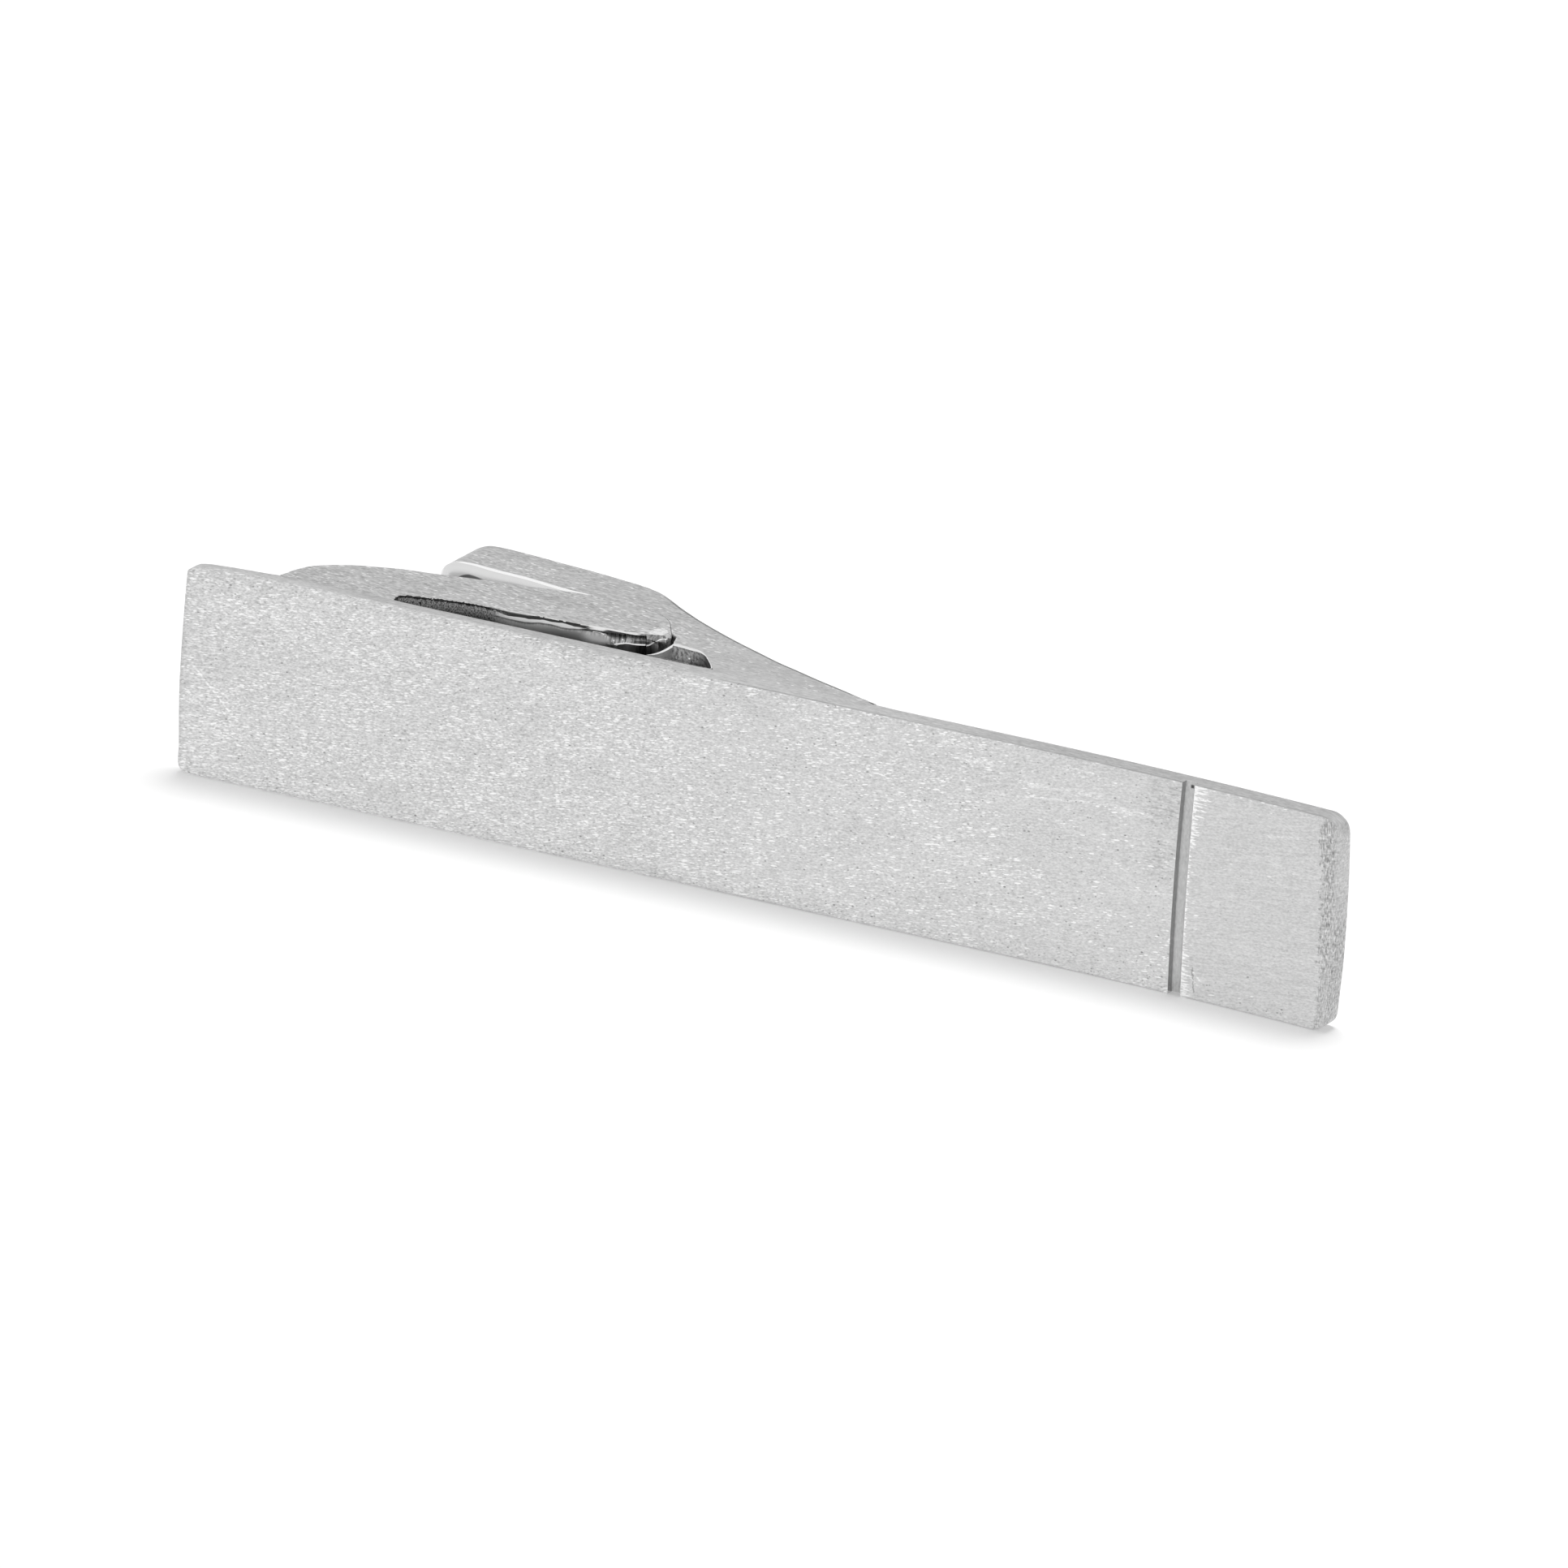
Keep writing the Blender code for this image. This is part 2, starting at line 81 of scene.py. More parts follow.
# How far the ends belly out at each height
LEFT_BELLY = ((0.0, 0.06), (0.6, 0.05), (1.1, 0.04), (1.9, 0.09), (2.7, 0.138), (3.6, 0.175), (4.4, 0.178),
              (5.2, 0.175), (6.8, 0.15), (7.5, 0.135), (8.5, 0.09))
RIGHT_BELLY = ((0.0, 0.0), (1.5, 0.07), (2.7, 0.13), (4.2, 0.13), (5.3, 0.12), (6.1, 0.1), (7.2, 0.05),
               (8.0, 0.0), (8.5, -0.03))
BELLY_REACH = 1.6

# The worn upper corner at the left end, as how far down the long edge lies at x
LEFT_WEAR = ((0.0, 0.27), (0.12, 0.21), (0.3, 0.17), (0.6, 0.13), (1.5, 0.07), (2.6, 0.03), (3.4, 0.0))

# Rounding of the bar's long edges, as (x, radius)
FACE_TOP_EDGE = ((0.0, 0.1), (0.4, 0.16), (1.8, 0.4), (12.0, 0.4), (19.0, 0.34), (23.5, 0.06), (50.0, 0.05))
FACE_LOW_EDGE = ((0.0, 0.2), (50.0, 0.1))
BACK_TOP_EDGE = ((0.0, 0.1), (1.0, 0.12), (3.4, 0.1), (3.6, 0.0), (8.2, 0.0), (8.8, 0.08), (21.6, 0.08),
                 (22.2, 0.0), (29.2, 0.0), (30.0, 0.07), (50.0, 0.07))
BACK_LOW_EDGE = BACK_TOP_EDGE

# The share of the bar's thickness that two roundings may take together
ROUNDED_SHARE = 0.97

# Left of this x, the front of the long edges up to this far back is brushed like the face
EDGE_FROM = 21.5
EDGE_FRONT = 0.45

# The groove across the face
GROOVE_LEFT = 43.0
GROOVE_RIGHT = 43.55
GROOVE_DEPTH = 0.34
GROOVE_BOWL = 0.04
GROOVE_BOW = 0.07
GROOVE_STEPS = 8
GROOVE_WALL = 0.006
GROOVE_MARGIN = 0.3
GROOVE_NEAR = 0.25
GROOVE_EDGE = 0.02
GROOVE_SPARE = 0.1

# Bright scratches in the face, each from one place to another, with its width and its strength
SCRATCHES = (((0.5, 4.5), (2.2, 2.8), 0.08, 0.24), ((0.25, 3.5), (1.2, 2.7), 0.1, 0.18),
             ((0.1, 3.1), (0.75, 3.0), 0.2, 0.2), ((1.5, 1.95), (3.05, 2.15), 0.07, 0.2),
             ((1.95, 8.22), (2.8, 7.98), 0.2, 0.22), ((1.0, 5.42), (1.4, 5.26), 0.24, 0.2),
             ((33.5, 7.5), (35.0, 7.55), 0.22, 0.18), ((35.2, 6.38), (40.4, 7.0), 0.08, 0.15),
             ((36.2, 7.05), (39.7, 7.2), 0.24, 0.14), ((40.3, 6.84), (42.0, 6.88), 0.2, 0.15),
             ((46.75, 7.18), (48.25, 7.42), 0.1, 0.17), ((43.9, 1.2), (44.5, 0.7), 0.07, 0.22),
             ((43.85, 0.92), (44.35, 0.56), 0.1, 0.2))

# Plans of the clip
SEAT = THICKNESS + 0.002
NEAR = 0.01
ON_SEAT = SEAT + NEAR
TONGUE_FOOT = ((3.45, SEAT), (8.42, SEAT))
TONGUE_INNER = ((8.4, 1.2), (8.34, 1.5), (8.52, 1.68), (9.14, 1.9), (10.15, 2.2), (11.13, 2.4), (12.0, 2.46),
                (14.04, 2.7), (15.74, 2.79), (17.13, 2.98), (17.9, 3.06), (18.3, 3.28), (18.65, 3.45))
TONGUE_TIP = ((18.93, 3.58), (19.05, 3.74), (19.02, 3.92))
TONGUE_OUTER = ((18.87, 4.14), (18.58, 4.65), (18.25, 5.2), (17.8, 5.67), (17.35, 5.96), (16.85, 6.2),
                (15.82, 6.42), (14.9, 6.37), (13.92, 6.26), (12.6, 6.0), (11.41, 5.7), (9.5, 5.32),
                (8.27, 4.98), (7.5, 4.82), (6.74, 4.64), (6.04, 4.35), (5.34, 4.05), (4.7, 3.66),
                (4.12, 3.14), (3.86, 2.82), (3.67, 2.38), (3.53, 1.83), (3.47, 1.4))
ARM_FOOT = ((22.3, SEAT), (29.35, SEAT))
ARM_BACK = ((29.28, 1.1), (28.24, 1.53), (27.18, 1.97), (26.12, 2.4), (25.03, 2.89), (23.94, 3.37),
            (22.8, 3.97), (21.63, 4.59), (20.43, 5.29), (19.18, 6.08), (18.51, 6.56), (17.82, 7.07),
            (17.08, 7.68), (16.4, 8.19), (15.83, 8.45), (15.32, 8.62), (14.37, 8.8), (13.43, 8.97),
            (12.51, 9.11), (11.59, 9.23), (10.67, 9.36), (9.77, 9.46), (8.88, 9.53), (8.2, 9.48),
            (7.72, 9.33), (7.4, 9.05), (7.22, 8.7))
ARM_LIP = ((7.16, 8.2), (7.17, 7.6), (7.25, 7.25), (7.48, 7.02), (7.85, 6.93))
ARM_MOUTH = ((8.3, 6.97), (8.8, 7.0), (9.77, 6.87), (11.17, 6.76), (12.47, 6.52), (13.4, 6.38))
CONTACT_GAP = 0.016
CONTACT_FROM = 14.2
ARM_THROAT = ((19.32, 3.75), (19.45, 3.35), (19.6, 2.95), (19.85, 2.93), (20.3, 2.87), (20.85, 2.75),
              (21.3, 2.36), (21.7, 1.86), (22.0, 1.45), (22.2, 1.12))
LIP_START = 7.12
LIP_RADIUS = 1.3
TIP_END = 19.1
TIP_RADIUS = 0.3

# The clip's mesh: the most steps between two points of a plan, their length, the limit on how far a sharp
# corner moves in, the flat hem along both long edges, and the cuts where the tip and the lip are rounded off
CURVE_STEPS = 6
CURVE_STEP = 0.08
CORNER_LIMIT = 0.6
HEM = 0.1
TIP_CUTS = (18.8, 18.88, 18.95, 19.02)
LIP_CUTS = (7.2, 7.26, 7.33, 7.42, 7.53, 7.66, 7.82, 8.0, 8.2, 8.4, 8.6)

# The tongue's outer side lies left of the slot's start, or past a limit that rises right of OUTER_RISE
SLOT_START = 8.0
OUTER_BACK = 3.25
OUTER_RISE = 18.6
TIP_START = 18.0

# Where one section of the clip's sides turns into the next, as (start, length) along x, at the tip along y
PLAIN_TO_CONTACT = (12.5, 1.0)
TIP_TO_OUTER = (3.3, 0.4)
RAGGED_TO_CALM = (10.8, 0.8)
CALM_TO_EVEN = (14.2, 1.0)
SHARP_TO_POLISHED = (15.5, 0.8)
POLISHED_TO_TORN = (16.4, 0.8)
TORN_TO_TIP = ((16.9, 0.8), (18.3, 0.6))
TORN_TO_TIP_SHARES = (0.42, 0.58)
PLAIN_TO_BACK = (11.0, 3.0)
PLAIN_TO_MOUTH = (7.2, 0.4)
MOUTH_TO_NARROW = (11.6, 1.2)
NARROW_TO_CONTACT = (13.2, 0.7)

# The lip's part of the mouth lies further back than the first and left of the second
LIP_BACK = 7.0
LIP_TO = 7.6

# Where the clip's materials lie: the side in the slot, the side in the mouth, the rim of the arm's back. The
# normals of a side's faces lie along z less than the level, and point back less than the turn.
SLOT_FROM = 8.3
SLOT_BACK = 3.6
SLOT_LEVEL = 0.99
SLOT_TURN = 0.3
MOUTH_BACK = (2.5, 7.3)
MOUTH_TO = 14.3
MOUTH_LEVEL = 0.97
MOUTH_TURN = 0.1
RIM_ALONG = (16.4, 28.4)
RIM_WIDTH = 0.1

# Places in the slot and the mouth at which the texture along the side is as far along as x says
TONGUE_MEASURE = (14.0, 2.7)
ARM_MEASURE = (9.0, 6.98)

# Sections of the clip's sides, as (depth below the long edge, how far in), all with as many places
PLAIN_SIDE = ((0.0, 0.06), (0.009, 0.03), (0.03, 0.009), (0.06, 0.0), (0.12, 0.0), (0.2, 0.0), (0.3, 0.0),
              (0.45, 0.0), (0.7, 0.0), (1.0, 0.0), (1.5, 0.0))
BACK_SIDE = ((0.0, 0.03), (0.022, 0.0), (0.05, -0.03), (0.08, -0.045), (0.12, -0.05), (0.2, -0.05),
             (0.3, -0.05), (0.45, -0.05), (0.7, -0.05), (1.0, -0.05), (1.5, -0.05))
SHARP_SIDE = ((0.0, 0.02), (0.02, 0.0), (0.03, 0.0), (0.06, -0.01), (0.12, -0.025), (0.2, -0.045),
              (0.3, -0.07), (0.45, -0.1), (0.7, -0.13), (1.0, -0.13), (1.5, -0.13))
POLISHED_SIDE = ((0.0, 0.13), (0.012, 0.07), (0.04, 0.03), (0.08, 0.008), (0.12, 0.0), (0.14, 0.05),
                 (0.17, 0.05), (0.2, 0.0), (0.6, -0.14), (0.9, -0.15), (1.5, -0.1))
TORN_SIDE = ((0.0, 0.08), (0.015, 0.03), (0.04, 0.0), (0.1, 0.03), (0.25, 0.05), (0.45, 0.03), (0.56, -0.04),
             (0.6, -0.05), (0.64, 0.0), (0.9, 0.03), (1.5, 0.03))
TIP_SIDE = ((0.0, 0.05), (0.02, 0.01), (0.04, -0.03), (0.06, -0.06), (0.08, -0.1), (0.1, -0.14),
            (0.12, -0.19), (0.15, -0.2), (0.2, -0.1), (0.6, -0.22), (1.5, -0.2))
FLAT_SIDE = tuple((depth, 0.0) for depth, inset in PLAIN_SIDE)
MOUTH_SIDE = ((0.0, 0.0), (0.02, -0.015), (0.05, -0.03), (0.09, -0.05), (0.15, -0.075), (0.24, -0.115),
              (0.34, -0.145), (0.46, -0.18), (0.7, -0.23), (1.0, -0.27), (1.5, -0.3))
NARROW_SIDE = ((0.0, 0.0), (0.02, -0.02), (0.05, -0.04), (0.09, -0.06), (0.15, -0.08), (0.24, -0.1),
               (0.34, -0.11), (0.46, -0.12), (0.7, -0.13), (1.0, -0.14), (1.5, -0.14))
CONTACT_SIDE = ((0.0, 0.012), (0.005, 0.004), (0.015, 0.0), (0.06, 0.0), (0.12, 0.0), (0.2, 0.0), (0.3, 0.0),
                (0.45, 0.0), (0.7, 0.0), (1.0, 0.0), (1.5, 0.0))

# The ragged edge: the furthest that it reaches in, the space between its corners, and the share of it that
# is gone where it is calm
JAGGED_EDGE = 0.16
JAGGED_STEP = 0.07
CALM_SHARE = 0.6

# The solder that fills the end of the slot
WEB_FRONT = 19.42
WEB_BACK = 19.62
WEB_DIP = 0.1
WEB_LENGTH = 1.95
WEB_STEPS = 6
WEB_SLANT = 0.7
FILL_END = 22.18
FILL_EDGE = 0.05
HOLLOW_WALL = 0.13
HOLLOW_RIM = 0.26
HOLLOW_SEAT = 0.012
HOLLOW_DEPTH = 1.2
RIM_DEPTH = 0.13

# Where the hollow's wall grows thin, as (start, length) along x, and the share of it that goes
THINNING = (20.6, 0.8)
THINNING_SHARE = 0.85

# From the solder's edge to the floor of its hollow, as (share of the wall's thickness, share of the depth)
HOLLOW_LEVELS = ((0.0, 0.0), (0.35, 0.0), (1.0, 0.0), (1.05, 0.03), (1.7, 0.25), (2.5, 0.5), (3.2, 0.8),
                 (4.5, 1.0))

# Meshes: how near two corners are made one, how near a corner counts as on a cut, and how sharp an edge
# stays sharp
WELD = 0.0008
CUT_REACH = 0.0005
SHARP_ANGLE = math.radians(40)
TINY = 1e-6

# How much of a face's normal lies along an axis that it leans towards, faces, or faces squarely
LEANING = 0.5
FACING = 0.7
SQUARE = 0.75

# Camera, fitted to the bar's corners
CAMERA_AZIMUTH = math.radians(25.8612)
CAMERA_ELEVATION = math.radians(18.1879)
CAMERA_ROLL = math.radians(3.7933)
CAMERA_AIM = (25.0, 4.5, 4.25)
CAMERA_ASIDE = (0.99812, 0.7213)
CAMERA_DISTANCE = 1020.58
CAMERA_LENS = 608.78
CAMERA_SENSOR = 36.0

# Light. The metal sees a pale tent that is a little darker low behind the clip.
WORLD_LIGHT = 0.5
TENT_FRONT = 0.93
TENT_BACK = 0.76
LAMP_POWER = 1.9
LAMP_SIZE = 0.28
LAMP_PLACE = (0.0, 0.125, 0.587)
FLOOR_COLOUR = 0.9
FLOOR_GLOW = 0.2
MIRRORED_COLOUR = 0.4
MIRRORED_GLOW = 0.63
FLOOR_SIZE = 12.0
WHITE = (1.0, 1.0, 1.0, 1.0)


def spot(x, y, z):
    """Return a place given in plan millimetres as a place in the frame, in metres."""
    return (Vector((x, y, z)) + BASE) * MM


def between(table, x):
    """Return a table's value at x."""
    for (x0, v0), (x1, v1) in zip(table, table[1:]):
        if x <= x1:
            return v0 + (v1 - v0) * max(0.0, (x - x0) / (x1 - x0))
    return table[-1][1]


def ease(t):
    """Return a smooth step from 0 to 1."""
    t = min(1.0, max(0.0, t))
    return t * t * (3 - 2 * t)


def progress(change, x):
    """Return how far a change has come at x, from 0 at its start to 1 at the end of its length."""
    start, length = change
    return ease((x - start) / length)


def rounded(radius, distance):
    """Return how far a rounded corner falls back at a distance from the end."""
    if radius <= 0 or distance >= radius:
        return 0.0
    return radius - math.sqrt(max(0.0, radius * radius - (radius - distance) ** 2))


def face_y(x):
    """Return where the bar's face lies at x."""
    past = max(0.0, x - BEND_START) / (LENGTH - BEND_START)
    return -BEND_FORWARD * past * past


# Shader helpers


class Value:
    """A number, place or colour that changes over a surface. Plain sums with it become math nodes."""

    def __init__(self, tree, socket):
        self.tree = tree
        self.socket = socket

    def __add__(self, other):
        return reckon("ADD", self, other)

    def __radd__(self, other):
        return reckon("ADD", other, self)

    def __sub__(self, other):
        return reckon("SUBTRACT", self, other)

    def __rsub__(self, other):
        return reckon("SUBTRACT", other, self)

    def __mul__(self, other):
        return reckon("MULTIPLY", self, other)

    def __truediv__(self, other):
        return reckon("DIVIDE", self, other)

    def __pow__(self, other):
        return reckon("POWER", self, other)

    def __abs__(self):
        return reckon("ABSOLUTE", self)


def feed(socket, value):
    """Link a value to an input, or set the input to a plain number."""
    if isinstance(value, Value):
        value.tree.links.new(value.socket, socket)
    else:
        socket.default_value = value


def add(tree, kind, inputs=(), **settings):
    """Add a node to a node tree, and return its outputs by their number and by their name."""
    node = tree.nodes.new(kind)
    for name, value in settings.items():
        setattr(node, name, value)
    for name, value in dict(inputs).items():
        feed(node.inputs[name], value)
    outputs = [Value(tree, socket) for socket in node.outputs]
    return {**dict(enumerate(outputs)), **{output.socket.name: output for output in outputs}}


def reckon(operation, a, b=0, clamp=False):
    """Return the result of a math node. At least one of its inputs is a Value."""
    tree = a.tree if isinstance(a, Value) else b.tree
    return add(tree, "ShaderNodeMath", {0: a, 1: b}, operation=operation, use_clamp=clamp)[0]


def ramp(value, low, high, out_low=0, out_high=1):
    """Return a smooth step of a value that goes from low to high."""
    return add(value.tree, "ShaderNodeMapRange", {"Value": value, "From Min": low, "From Max": high,
                                                  "To Min": out_low, "To Max": out_high},
               interpolation_type="SMOOTHSTEP")[0]


def within(value, low, high, soft):
    """Return 1 between two plain numbers, with soft borders outside them."""
    return ramp(value, low - soft, low) * ramp(value, high + soft, high)


def mix(share, a, b):
    """Return a value that goes from a to b as a share goes from 0 to 1."""
    return add(share.tree, "ShaderNodeMix", {0: share, 2: a, 3: b}, data_type="FLOAT")[0]


def grey(tone):
    """Return a tone as a colour."""
    return add(tone.tree, "ShaderNodeCombineColor", {0: tone, 1: tone, 2: tone})[0]


def stretch(place, length, width, tilt, seed):
    """Return a place turned by a tilt and measured in lengths and widths."""
    tree = place.tree
    turned = add(tree, "ShaderNodeVectorRotate", {"Vector": place, "Angle": tilt}, rotation_type="Z_AXIS")
    split = add(tree, "ShaderNodeSeparateXYZ", {0: turned[0]})
    return add(tree, "ShaderNodeCombineXYZ", {0: split[0] / length + seed, 1: split[1] / width, 2: seed})[0]


def placed(group, place, inputs):
    """Place a shared node group in the tree of a place, and return its outputs."""
    return add(place.tree, "ShaderNodeGroup", {"Vector": place, **inputs},
               node_tree=bpy.data.node_groups[group])


def streaks(place, length, width, seed=0, detail=1, tilt=0):
    """Return streaky noise, with streaks of a given length and width."""
    return placed("strokes", place, {"Length": length, "Width": width, "Tilt": tilt, "Seed": seed,
                                     "Detail": detail})["Value"]


def marks(place, length, width, seed, fill, tilt=0):
    """Return short separate dashes in cells of a given length and width."""
    return placed("dashes", place, {"Cell Length": length, "Cell Width": width, "Tilt": tilt, "Seed": seed,
                                    "Fill": fill})["Value"]


def new_group(name, inputs, outputs):
    """Start a node group that takes a place and numbers. Return its tree, its inputs and its outputs."""
    group = bpy.data.node_groups.new(name, "ShaderNodeTree")
    group.interface.new_socket("Vector", in_out="INPUT", socket_type="NodeSocketVector")
    for title, default in inputs.items():
        socket = group.interface.new_socket(title, in_out="INPUT", socket_type="NodeSocketFloat")
        socket.default_value = default
    for title in outputs:
        kind = "NodeSocketColor" if title == "Color" else "NodeSocketFloat"
        group.interface.new_socket(title, in_out="OUTPUT", socket_type=kind)
    return group, add(group, "NodeGroupInput"), group.nodes.new("NodeGroupOutput").inputs


def strokes_group():
    """Streaky noise, with streaks of a given length and width in millimetres."""
    tree, given, out = new_group(
        "strokes", {"Length": 1, "Width": 0.1, "Tilt": 0, "Seed": 0, "Detail": 1}, ["Value"])
    place = stretch(given["Vector"], given["Length"], given["Width"], given["Tilt"], given["Seed"])
    noise = add(tree, "ShaderNodeTexNoise", {"Vector": place, "Scale": 1, "Detail": given["Detail"],
                                             "Roughness": 0.55})
    feed(out["Value"], noise[0])


def dashes_group():
    """Short separate dashes, each in a cell of its own. Fill is the share of cells that have one."""
    tree, given, out = new_group(
        "dashes", {"Cell Length": 0.5, "Cell Width": 0.16, "Tilt": 0, "Seed": 0, "Fill": 0.5}, ["Value"])
    place = stretch(given["Vector"], given["Cell Length"], given["Cell Width"], given["Tilt"], given["Seed"])
    cells = add(tree, "ShaderNodeTexVoronoi", {"Vector": place, "Scale": 1}, voronoi_dimensions="2D")
    chance = add(tree, "ShaderNodeSeparateColor", {0: cells["Color"]})
    radius = 0.16 + chance[0] * 0.26
    dash = ramp(cells["Distance"] / radius, 1, 0.3)
    chosen = reckon("MULTIPLY", given["Fill"] - chance[1], 8, clamp=True)
    strength = 0.18 + chance[2] ** 3 * 0.9
    feed(out["Value"], dash * chosen * strength)


def finish_group():
    """Brushed silver from grain, long lines, bright dashes painted as glints, dark specks and pale patches.
    """
    given, out = new_group(
        "brushed_finish", {"Tone": 0.66, "Tilt": 0, "Dash Length": 0.5, "Dash Width": 0.16, "Dashes": 0.5,
                           "Dash Gain": 0.5, "Grain": 0.3, "Grain Size": 0.1, "Lines": 0, "Specks": 0.3,
                           "Patches": 0.05}, ["Color", "Height", "Roughness"])[1:]
    place, tilt, size = given["Vector"], given["Tilt"], given["Grain Size"]
    length, width = given["Dash Length"], given["Dash Width"]
    fine = streaks(place, size * 2.2, size, 1.7, 1, tilt) - 0.5
    coarse = streaks(place, size * 9, size * 1.6, 3.1, 1, tilt) - 0.5
    long = streaks(place, size * 30, size * 1.2, 21.3, 2, tilt) - 0.5
    patch = streaks(place, 4.5, 1.4, 9.1, 2, tilt) - 0.5
    fill = given["Dashes"] * ramp(streaks(place, 2.6, 0.8, 12.4, 2, tilt), 0.3, 0.68, 0.35, 1.5)
    # Bright dashes: marks of the brushing, painted brighter as glints
    bright = reckon("MAXIMUM", marks(place, length, width, 5, fill, tilt),
                    marks(place, length * 0.6, width * 0.8, 31, fill, tilt))
    dark = marks(place, 0.2, 0.12, 57, given["Specks"], tilt)

    grain = fine * given["Grain"] + coarse * given["Grain"] * 0.4 + long * given["Lines"]
    tone = 1 + grain + patch * given["Patches"]
    tone = tone * given["Tone"] * (1 - dark * 0.55)
    # Painted glints: the bright dashes lift the tone
    tone = reckon("MINIMUM", tone * (1 + bright * given["Dash Gain"]), 1)
    feed(out["Color"], grey(tone))
    feed(out["Height"], fine + (bright - dark))
    feed(out["Roughness"], 0.42 - bright * 0.12)


def new_material(name):
    """Return a metal material, its shader's inputs, and the place on it in millimetres with its x and y."""
    material = bpy.data.materials.new(name)
    material.use_nodes = True
    shader = material.node_tree.nodes["Principled BSDF"].inputs
    shader["Metallic"].default_value = 1
    place = add(material.node_tree, "ShaderNodeUVMap", uv_map="grain")[0]
    split = add(material.node_tree, "ShaderNodeSeparateXYZ", {0: place})
    return material, shader, place, split[0], split[1]


def roughen(shader, height, strength, depth):
    """Give a surface relief, with its depth in millimetres."""
    bump = add(height.tree, "ShaderNodeBump", {"Height": height, "Strength": strength,
                                               "Distance": depth * MM})
    feed(shader["Normal"], bump[0])


def brush(shader, place, roughness=None, **values):
    """Give a surface the brushed finish, with the finish's own inputs as values."""
    finish = placed("brushed_finish", place, {name.replace("_", " ").title(): value
                                              for name, value in values.items()})
    feed(shader["Base Color"], finish["Color"])
    feed(shader["Roughness"], finish["Roughness"] if roughness is None else roughness)
    roughen(shader, finish["Height"], strength=0.2, depth=0.01)


def scratch(x, z, wobble, start, end, width):
    """Return a straight scratch from one place to another."""
    along, deep = end[0] - start[0], end[1] - start[1]
    length = math.hypot(along, deep)
    left, low = x - start[0], z - start[1]
    on = left * (along / length) + low * (deep / length)
    off = low * (along / length) - left * (deep / length) + wobble
    return within(on, 0.15, length - 0.15, 0.15) * within(off, -width / 4, width / 4, width / 2)


